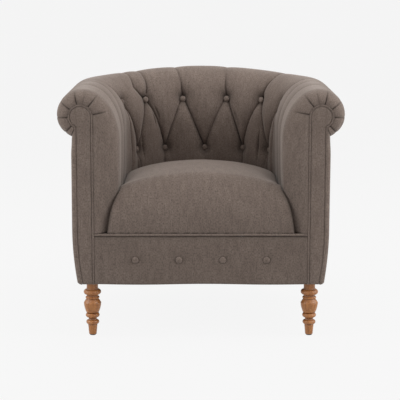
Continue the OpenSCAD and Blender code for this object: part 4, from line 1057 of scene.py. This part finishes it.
class TUBCHAIR_OT_border(Operator):
    """Front border under the seat and the piping above it"""
    bl_idname = "tubchair.border"
    bl_label = "Front border"

    def execute(self, context):
        """The panel's front is crowned, dips round its buttons with a pucker above each, and sags unevenly at
        its lower edge."""
        scene = context.scene
        wall = Wall(scene)
        b = wall.buttons
        half, low, high = border_high.x, border_low.z, border_high.z
        x = np.linspace(-half, half, 230)[:, None]
        z = np.linspace(low, high, 60)[None, :]
        inset = np.minimum(z - low, high - z)
        crown = crowned(inset, *BORDER_CROWN)
        dip = np.zeros(np.broadcast(x, z).shape)
        # Painted shade: a little all over the border, more under its top edge
        dark = dip + BORDER_SHADE + TOP_SHADE * peak(high - z, TOP_SHADE_WIDTH)
        for place in border_places(b):
            away = np.hypot(x - place, (z - b.border_z) * DIP_SQUEEZE)
            above = np.abs(z - b.border_z - PUCKER_UP)
            beside = np.maximum(away - b.border_diameter / 2, 0)
            dip = np.maximum(dip, DIP * peak(away, DIP_WIDTH, DIP_POWER))
            dip = dip + PUCKER * peak(x - place, PUCKER_WIDTH, 2) * peak(above, PUCKER_HEIGHT)
            # Painted shade round each button
            dark = np.maximum(dark, RIM_SHADE * peak(beside, RIM_SHADE_WIDTH))
        wave = ripples(x, z, 3, *BORDER_RIPPLES) * rounded(inset / 0.010)
        y = border_high.y
        sag = ripples(x, z * 0, 8, SAG_RIPPLE) * (1 - (z - low) / (high - low)) ** 3
        front = grid(x, y - BORDER_FACE - crown + dip + wave, z + sag)
        piece = add_slab("border_panel", front, grid(x, y, z + sag), grid(x, z), crease_and_painted_shade=dark)
        dress(piece, cloth(scene), ["front_border"])
        x = np.linspace(-half, half, 240)
        y, z = (welt_low.y + welt_high.y) / 2, (welt_low.z + welt_high.z) / 2
        route = grid(x, y, z + ripples(x, x * 0, 2, CORD_RIPPLE))
        add_cord(scene, "seat_cord", route, scene.tub_seat.welt / 2, "seat_piping")
        return {"FINISHED"}


# Outside covers: how far the top edge tucks in under the roll and over what height, the height over which the
# front bends in, how far a cover turns in at its seams and at its foot and over what width, the thickness,
# and the ripples
TUCK, TUCK_HEIGHT, BEND_HEIGHT = 0.0012, 0.006, 0.05
SEAM_TURN, SEAM_WIDTH, HEM_TURN, HEM_WIDTH = 0.0015, 0.004, 0.004, 0.005
COVER_DEPTH, COVER_RIPPLES = 0.0045, ((0.0009, 0.060, 0.110), (0.0003, 0.012, 0.090))


class TUBCHAIR_OT_outside(Operator):
    """Outside covers of the arms and the back"""
    bl_idname = "tubchair.outside"
    bl_label = "Outside covers"

    def execute(self, context):
        """Near its front an arm's cover rises with the underside of the roll and bends in to the facing."""
        scene = context.scene
        wall = Wall(scene)
        low, run, fronts = wall.sizes.leg_height, wall.sizes.arm_run - COVER_GAP, wall.fronts
        z = np.linspace(low, wall.seam_z, 110)[None, :]
        rise = wall.front_outline(np.array([3.0]))[1][0] - wall.seam_z + 0.003
        tuck = TUCK * smooth((z - wall.seam_z + TUCK_HEIGHT) / TUCK_HEIGHT)
        near = FRONT_START + 0.014 * (1 - np.cos(np.linspace(0, np.pi / 2, 14)))
        u = np.concatenate([near, np.linspace(near[-1], run, 120)[1:]])[:, None]
        rise = rise * (1 - rounded((u - FRONT_START) / fronts.round_roll))
        level = low + (z - low) * (1 + rise / (wall.seam_z - low))
        up = smooth((level - wall.seam_z + BEND_HEIGHT) / BEND_HEIGHT)
        reach = fronts.facing_in + (fronts.round_roll - fronts.facing_in) * up
        bend = (fronts.facing_in - wall.edge_gap) * (1 - rounded((u - FRONT_START) / reach))
        for name, side in SIDES.items():
            self.cover(scene, wall, name + "_outside_arm", side * (wall.s_front - u), level,
                       bend + self.turned_in(run - u) + tuck, side + 3,
                       [name + "_outside_arm_cover", name + "_outside_padding"])
        half = wall.s_corner - COVER_GAP
        s = np.linspace(-1, 1, 300)[:, None] * half
        self.cover(scene, wall, "outside_back", s, z, self.turned_in(half - np.abs(s)), 9,
                   ["outside_back_cover", "back_outside_padding"])
        return {"FINISHED"}

    def turned_in(self, away):
        """How far a cover turns in beside its seam, a quarter circle of the distance from it."""
        return SEAM_TURN * (1 - rounded(away / SEAM_WIDTH))

    def cover(self, scene, wall, name, s, z, inset, seed, nodes):
        """One cover: the outer face of the wall less an inset, with a rolled bottom edge and a shallow uneven
        wave."""
        up = z - wall.sizes.leg_height
        wave = (ripples(s, z, seed, *COVER_RIPPLES) - 0.0004) * rounded(up / 0.02)
        face = wall.outer_face(z) - inset
        front = wall.point(s, face - HEM_TURN * (1 - rounded(up / HEM_WIDTH)) + wave, z)
        piece = add_slab(name, front, wall.point(s, face - COVER_DEPTH, z), grid(s, z))
        dress(piece, cloth(scene), nodes)


# Rear legs: middle of the chair to their tops, their thickness at the top and the foot, and the height of the
# glides under all legs
REAR_LEG_X, REAR_LEG_TOP, REAR_LEG_FOOT, GLIDE = 0.180, 0.042, 0.026, 0.003
# Dust cover: its sag and ripple, and the holes round the legs' plates
DUST_SAG, DUST_RIPPLE, HOLE_RADIUS = 0.002, (0.0006, 0.05, 0.05), 0.033


class TUBCHAIR_OT_dust_cover(Operator):
    """Cloth stretched under the frame"""
    bl_idname = "tubchair.dust_cover"
    bl_label = "Dust cover"

    def execute(self, context):
        scene = context.scene
        wall = Wall(scene)
        turn = np.linspace(-1, 1, 181)[:, None] * wall.s_corner
        reach = np.linspace(0, 1, 60)[None, :]
        rim = wall.point(turn, dust_high.x - wall.half_w, 0)
        x, y = np.broadcast_arrays(rim[..., 0], dust_low.y + (rim[..., 1] - dust_low.y) * reach)
        inner = np.minimum(reach, 1 - reach) * 2
        sag = DUST_SAG * rounded(inner) + ripples(x, y, 21, DUST_RIPPLE) * rounded(inner * 3)
        piece = add_slab(
            "dust_sheet", grid(x, y, dust_low.z - sag), grid(x, y, dust_high.z - sag), grid(x, y))
        self.cut_leg_holes(piece)
        dark = tuple(scene.tub_cloth.dust)
        material = plain_material("dust_cloth", dark, scaled(dark, 1.6), 0.95, 900, 0.0004)
        dress(piece, material, ["dust_cover"])
        return {"FINISHED"}

    def cut_leg_holes(self, piece):
        """Cuts a round hole for the plate of each leg."""
        tops = []
        for name, side in SIDES.items():
            low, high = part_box("front_" + name + "_leg")
            tops.append(((low.x + high.x) / 2, (low.y + high.y) / 2))
        for name, side in SIDES.items():
            tops.append((side * REAR_LEG_X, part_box("rear_" + name + "_leg")[0].y + REAR_LEG_TOP / 2))
        for x, y in tops:
            bpy.ops.mesh.primitive_cylinder_add(
                vertices=64, radius=HOLE_RADIUS, depth=0.05, location=(x, y, dust_low.z))
            cutter = bpy.context.object
            cut = piece.modifiers.new("hole", "BOOLEAN")
            cut.operation, cut.solver, cut.object = "DIFFERENCE", "EXACT", cutter
            bpy.context.view_layer.objects.active = piece
            bpy.ops.object.modifier_apply(modifier=cut.name)
            bpy.data.objects.remove(cutter)


# Bore of a front leg's bolt, the first points of the outline that lie in it, the number of levels over which
# its outline is smoothed, and how far inside that line the painted shade in a groove is full
BORE_DEPTH, BORE_RADIUS, BORE_POINTS, SMOOTHING, FULL_GROOVE = 0.038, 0.0043, 3, 61, 0.0045


def leg_outline(height, top, widest):
    """Outline of a turned leg from the top down, as (radius, height): the bore of its bolt, beads as half
    circles between fillets, a vase that swells as a sine and tapers as a cosine, a waist between two rings,
    and a tapered foot. Heights are shares of the leg's height, radii and diameters shares of its widest
    ones."""
    def bead(z, d, r, steps=14):
        a = np.linspace(np.pi / 2, -np.pi / 2, steps)
        return np.stack([d / 2 - r + r * np.cos(a), z + r * np.sin(a)], -1)

    def curve(z0, z1, shape, steps=16):
        k = np.linspace(0, 1, steps)
        return np.stack([shape(k), z0 + (z1 - z0) * k], -1)

    def vase(k):
        swell = np.sin(np.pi * np.minimum(k / 0.42, 1) ** 0.9 / 2) * (k <= 0.21)
        taper = np.cos(np.pi / 2 * np.clip((k - 0.21) / 0.79, 0, 1)) ** 0.85 * (k > 0.21)
        return radius * (0.70 + 0.30 * swell + 0.30 * taper)

    radius, neck = widest / 2, widest * 0.34
    rows = [
        [(0, top - BORE_DEPTH), (BORE_RADIUS, top - BORE_DEPTH), (BORE_RADIUS, top), (neck, top)],
        curve(top - 0.002, height * 0.872, lambda k: neck - radius * 0.03 * np.sin(np.pi * k)),
        bead(height * 0.82, widest, widest * 0.155),
        [(neck * 0.98, height * 0.762), (neck * 0.97, height * 0.742)],
        bead(height * 0.715, widest * 0.80, height * 0.020),
        [(neck * 1.02, height * 0.692)],
        curve(height * 0.690, height * 0.430, vase),
        bead(height * 0.38, widest * 0.80, height * 0.044),
        [(radius * 0.50, height * 0.330)],
        curve(height * 0.325, height * 0.298, lambda k: radius * (0.48 - 0.02 * np.sin(np.pi * k)), 8),
        bead(height * 0.25, widest * 0.75, height * 0.042),
        curve(height * 0.205, GLIDE, lambda k: radius * (0.54 - 0.11 * k)),
        [(0, GLIDE)],
    ]
    return np.concatenate([np.asarray(row, float) for row in rows])


class TUBCHAIR_OT_legs(Operator):
    """Turned front legs and square rear legs"""
    bl_idname = "tubchair.legs"
    bl_label = "Legs"

    def execute(self, context):
        look = context.scene.tub_wood
        wood = wood_material("oak", tuple(look.oak), tuple(look.oak_grain), 0.42, 0.15, grooves=True)
        for side in SIDES:
            self.front_leg("front_" + side + "_leg", side, wood)
            self.rear_leg("rear_" + side + "_leg", side, wood)
        return {"FINISHED"}

    def front_leg(self, node, side, wood):
        """The outline turned round the leg's axis. Its attribute of painted shade is how far the outline lies
        inside its own smoothed line, so that the grooves are painted darker."""
        low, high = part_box(node)
        x, y = (low.x + high.x) / 2, (low.y + high.y) / 2
        outline = leg_outline(facing_low.z, high.z, high.x - low.x)
        r, z = outline[:, 0], outline[:, 1]
        turn = np.linspace(0, 2 * np.pi, 72, endpoint=False)[None, :]
        rings = grid(x + r[:, None] * np.cos(turn), y + r[:, None] * np.sin(turn), z[:, None])
        uv = grid(turn * 0.02, z[:, None])
        faces = grid_faces(len(r), turn.size, closed=True)
        piece = add_piece("turned_" + side + "_leg", [(rings, faces, uv)])
        levels = np.linspace(z.min(), z.max(), 400)
        r, z = r[BORE_POINTS:], z[BORE_POINTS:]
        order = np.argsort(z)
        line = np.interp(levels, z[order], r[order])
        weights = np.hanning(SMOOTHING) / np.hanning(SMOOTHING).sum()
        wide = np.convolve(np.pad(line, SMOOTHING // 2, mode="edge"), weights, mode="valid")
        # Painted shade in the grooves, by how far the outline lies inside its smoothed line
        painted_groove_shade = np.clip((wide - line) / FULL_GROOVE, 0, 1)
        places = np.zeros(len(piece.data.vertices) * 3)
        piece.data.vertices.foreach_get("co", places)
        attribute = piece.data.attributes.new("painted_groove_shade", "FLOAT", "POINT")
        attribute.data.foreach_set("value", np.interp(places[2::3], levels, painted_groove_shade).astype(np.float32))
        dress(piece, wood, [node])

    def rear_leg(self, node, side, wood):
        """A square section with rounded corners, 8th powers of sine and cosine, that tapers and rakes on a
        straight line."""
        low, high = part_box(node)
        sign, top, foot = SIDES[side], REAR_LEG_TOP, REAR_LEG_FOOT
        x0, y0 = sign * REAR_LEG_X, low.y + top / 2
        x1 = sign * max(sign * (high.x if sign > 0 else low.x) - foot / 2, REAR_LEG_X)
        y1 = high.y - foot / 2
        part = np.linspace(0, 1, 24)[:, None]
        angle = np.linspace(0, 2 * np.pi, 64, endpoint=False)[None, :]
        square = 1 / (np.abs(np.cos(angle)) ** 8 + np.abs(np.sin(angle)) ** 8) ** (1 / 8)
        half = (top + (foot - top) * part) / 2 * square
        x = x0 + (x1 - x0) * part + half * np.cos(angle)
        y = y0 + (y1 - y0) * part + half * np.sin(angle)
        z = high.z + (GLIDE - high.z) * part
        rings = grid(x, y, z)
        piece = add_piece("raked_" + side + "_leg", [(rings, tube_part(rings), grid(angle * 0.02, z))])
        dress(piece, wood, [node])


class TUBCHAIR_OT_frame(Operator):
    """Finishes of the frame, springs and fittings"""
    bl_idname = "tubchair.frame"
    bl_label = "Frame and fittings"

    def execute(self, context):
        look = context.scene.tub_wood
        beech = wood_material("beech", tuple(look.beech), scaled(look.beech, 0.72), 0.62)
        steel = plain_material("spring_steel", (0.46, 0.46, 0.47), (0.38, 0.38, 0.40), 0.38, 300, 0.0001, 1.0)
        zinc = plain_material("zinc_steel", (0.62, 0.63, 0.65), (0.50, 0.51, 0.54), 0.34, 120, 0.0001, 1.0)
        nylon = plain_material("nylon", (0.030, 0.030, 0.031), (0.045, 0.045, 0.046), 0.55, 500, 0.0001)
        finishes = {
            beech: ("front_rail", "left_side_rail", "right_side_rail", "back_rail", "corner_blocks",
                    "frame_dowels", "left_arm_board", "right_arm_board", "left_stiles", "right_stiles",
                    "left_arm_rail", "right_arm_rail", "crest_rail"),
            steel: ("seat_springs", "spring_clips"),
            zinc: ("leg_plates", "leg_bolts"),
            nylon: ("leg_glides",)}
        for material, nodes in finishes.items():
            for node in nodes:
                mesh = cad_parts[node].data
                mesh.materials.clear()
                mesh.materials.append(material)
        return {"FINISHED"}


# Place, tilt and lens of the camera
EYE, TILT, LENS = (-0.0026, -4.485, 1.08), math.radians(80.68), 129.96
# Point that the lights aim at, half the width of the floor, how much of what the floor shows is its own
# colour, and how much brighter that is than the backdrop, so that both come out alike
LIT_POINT, FLOOR_REACH, FLOOR_SHARE, FLOOR_GAIN = (0, 0.05, 0.45), 40.0, 0.95, 1.026
# Soft lights: name, watts, size, place
LIGHTS = (
    ("top_light", 20, 2.0, (0, 0.1, 3.2)), ("right_light", 18, 2.0, (1.7, -0.4, 2.7)),
    ("rear_light", 22, 2.0, (0, 1.8, 2.7)), ("front_right_light", 18, 2.0, (2.0, -2.6, 2.2)),
    ("front_left_light", 7, 1.2, (-1.3, -1.9, 1.7)), ("left_side_light", 48, 2.0, (-3.0, -0.9, 1.5)),
    ("right_side_light", 46, 2.0, (3.0, -0.9, 1.5)))


class TUBCHAIR_OT_stage(Operator):
    """Camera, lights, floor and background"""
    bl_idname = "tubchair.stage"
    bl_label = "Stage"

    def execute(self, context):
        scene = context.scene
        self.camera(scene)
        look = scene.tub_stage
        for name, power, size, place in LIGHTS:
            self.light(scene, name, power * look.power, size, place)
        self.world(scene, look)
        self.floor(scene, look)
        scene.view_settings.view_transform = "Standard"
        return {"FINISHED"}

    def camera(self, scene):
        """Eye level a little above the chair, tilted down, at the photograph's distance."""
        data = bpy.data.cameras.new("camera")
        data.sensor_width, data.lens = 36.0, LENS
        camera = bpy.data.objects.new("camera", data)
        camera.location = EYE
        camera.rotation_euler = (TILT, 0, 0)
        scene.collection.objects.link(camera)
        scene.camera = camera

    def light(self, scene, name, power, size, place):
        """A square soft light at a place, turned to the lit point."""
        data = bpy.data.lights.new(name, "AREA")
        data.energy, data.size, data.shape = power, size, "SQUARE"
        lamp = bpy.data.objects.new(name, data)
        lamp.location = place
        x, y, z = (b - a for a, b in zip(place, LIT_POINT))
        lamp.rotation_euler = (math.atan2(math.hypot(x, y), -z), 0, math.atan2(x, -y) + math.pi)
        scene.collection.objects.link(lamp)

    def seen(self, tree):
        """1 for rays that show the background: from the camera, a reflection or through glass."""
        path = make_node(tree, "ShaderNodeLightPath")
        total = path.outputs["Is Camera Ray"]
        for name in ("Is Glossy Ray", "Is Transmission Ray"):
            both = make_node(tree, "ShaderNodeMath", operation="MAXIMUM")
            tree.links.new(total, both.inputs[0])
            tree.links.new(path.outputs[name], both.inputs[1])
            total = both.outputs[0]
        return total

    def world(self, scene, look):
        """Even light all round, seen as the plain backdrop."""
        world = bpy.data.worlds.new("studio")
        scene.world = world
        world.use_nodes = True
        tree = world.node_tree
        tree.nodes.clear()
        ambient = make_node(tree, "ShaderNodeBackground", Color=(1, 0.985, 0.965, 1), Strength=look.ambient)
        shown = make_node(tree, "ShaderNodeBackground", Color=(*look.backdrop, 1), Strength=1.0)
        self.mix(tree, self.seen(tree), ambient, shown, "ShaderNodeOutputWorld")

    def floor(self, scene, look):
        """A wide pale floor that takes the chair's shadow and otherwise shows its own colour."""
        mesh = bpy.data.meshes.new("floor")
        corners = [(x * FLOOR_REACH, y * FLOOR_REACH, 0) for x, y in ((-1, -1), (1, -1), (1, 1), (-1, 1))]
        mesh.from_pydata(corners, [], [(0, 1, 2, 3)])
        floor = bpy.data.objects.new("floor", mesh)
        scene.collection.objects.link(floor)
        material = bpy.data.materials.new("pale_floor")
        material.use_nodes = True
        tree = material.node_tree
        tree.nodes.clear()
        matt = make_node(tree, "ShaderNodeBsdfDiffuse", Color=(*look.bounce, 1))
        shown = (*scaled(look.backdrop, FLOOR_GAIN), 1)
        glow = make_node(tree, "ShaderNodeEmission", Color=shown, Strength=1.0)
        part = make_node(tree, "ShaderNodeMath", operation="MULTIPLY")
        tree.links.new(self.seen(tree), part.inputs[0])
        part.inputs[1].default_value = FLOOR_SHARE
        self.mix(tree, part.outputs[0], matt, glow, "ShaderNodeOutputMaterial")
        mesh.materials.append(material)

    def mix(self, tree, factor, one, other, output):
        """Mixes two shaders by a factor socket into the output."""
        mixed = make_node(tree, "ShaderNodeMixShader")
        out = make_node(tree, output)
        tree.links.new(factor, mixed.inputs[0])
        tree.links.new(one.outputs[0], mixed.inputs[1])
        tree.links.new(other.outputs[0], mixed.inputs[2])
        tree.links.new(mixed.outputs[0], out.inputs[0])


OPERATORS = (TUBCHAIR_OT_stage, TUBCHAIR_OT_back, TUBCHAIR_OT_arms, TUBCHAIR_OT_arm_fronts, TUBCHAIR_OT_seat,
             TUBCHAIR_OT_border, TUBCHAIR_OT_buttons, TUBCHAIR_OT_outside, TUBCHAIR_OT_dust_cover,
             TUBCHAIR_OT_legs, TUBCHAIR_OT_frame)
GROUPS = {"tub_wall": WallSizes, "tub_buttons": ButtonSizes, "tub_fronts": ArmFrontSizes,
          "tub_seat": SeatSizes, "tub_cloth": ClothLook, "tub_wood": WoodLook, "tub_stage": StageLook}


class TUBCHAIR_PT_panel(Panel):
    """Sizes, colours and pieces of the tub chair"""
    bl_idname = "TUBCHAIR_PT_panel"
    bl_label = "Tub Chair"
    bl_space_type = "VIEW_3D"
    bl_region_type = "UI"
    bl_category = "Tub Chair"

    def draw(self, context):
        for group in GROUPS:
            box = self.layout.box()
            values = getattr(context.scene, group)
            for name in values.__annotations__:
                box.prop(values, name)
        for operator in OPERATORS:
            self.layout.operator(operator.bl_idname)


def register():
    """Adds the groups of sizes and colours, the operators and the panel."""
    for group in GROUPS.values():
        bpy.utils.register_class(group)
    for name, group in GROUPS.items():
        setattr(bpy.types.Scene, name, PointerProperty(type=group))
    for made in (*OPERATORS, TUBCHAIR_PT_panel):
        bpy.utils.register_class(made)


def unregister():
    """Removes what register added."""
    for made in (TUBCHAIR_PT_panel, *reversed(OPERATORS)):
        bpy.utils.unregister_class(made)
    for name, group in GROUPS.items():
        delattr(bpy.types.Scene, name)
        bpy.utils.unregister_class(group)


def main():
    """Registers the add-on, then builds the stage and every piece."""
    register()
    for operator in OPERATORS:
        section, name = operator.bl_idname.split(".")
        getattr(getattr(bpy.ops, section), name)()


if __name__ == "__main__":
    main()
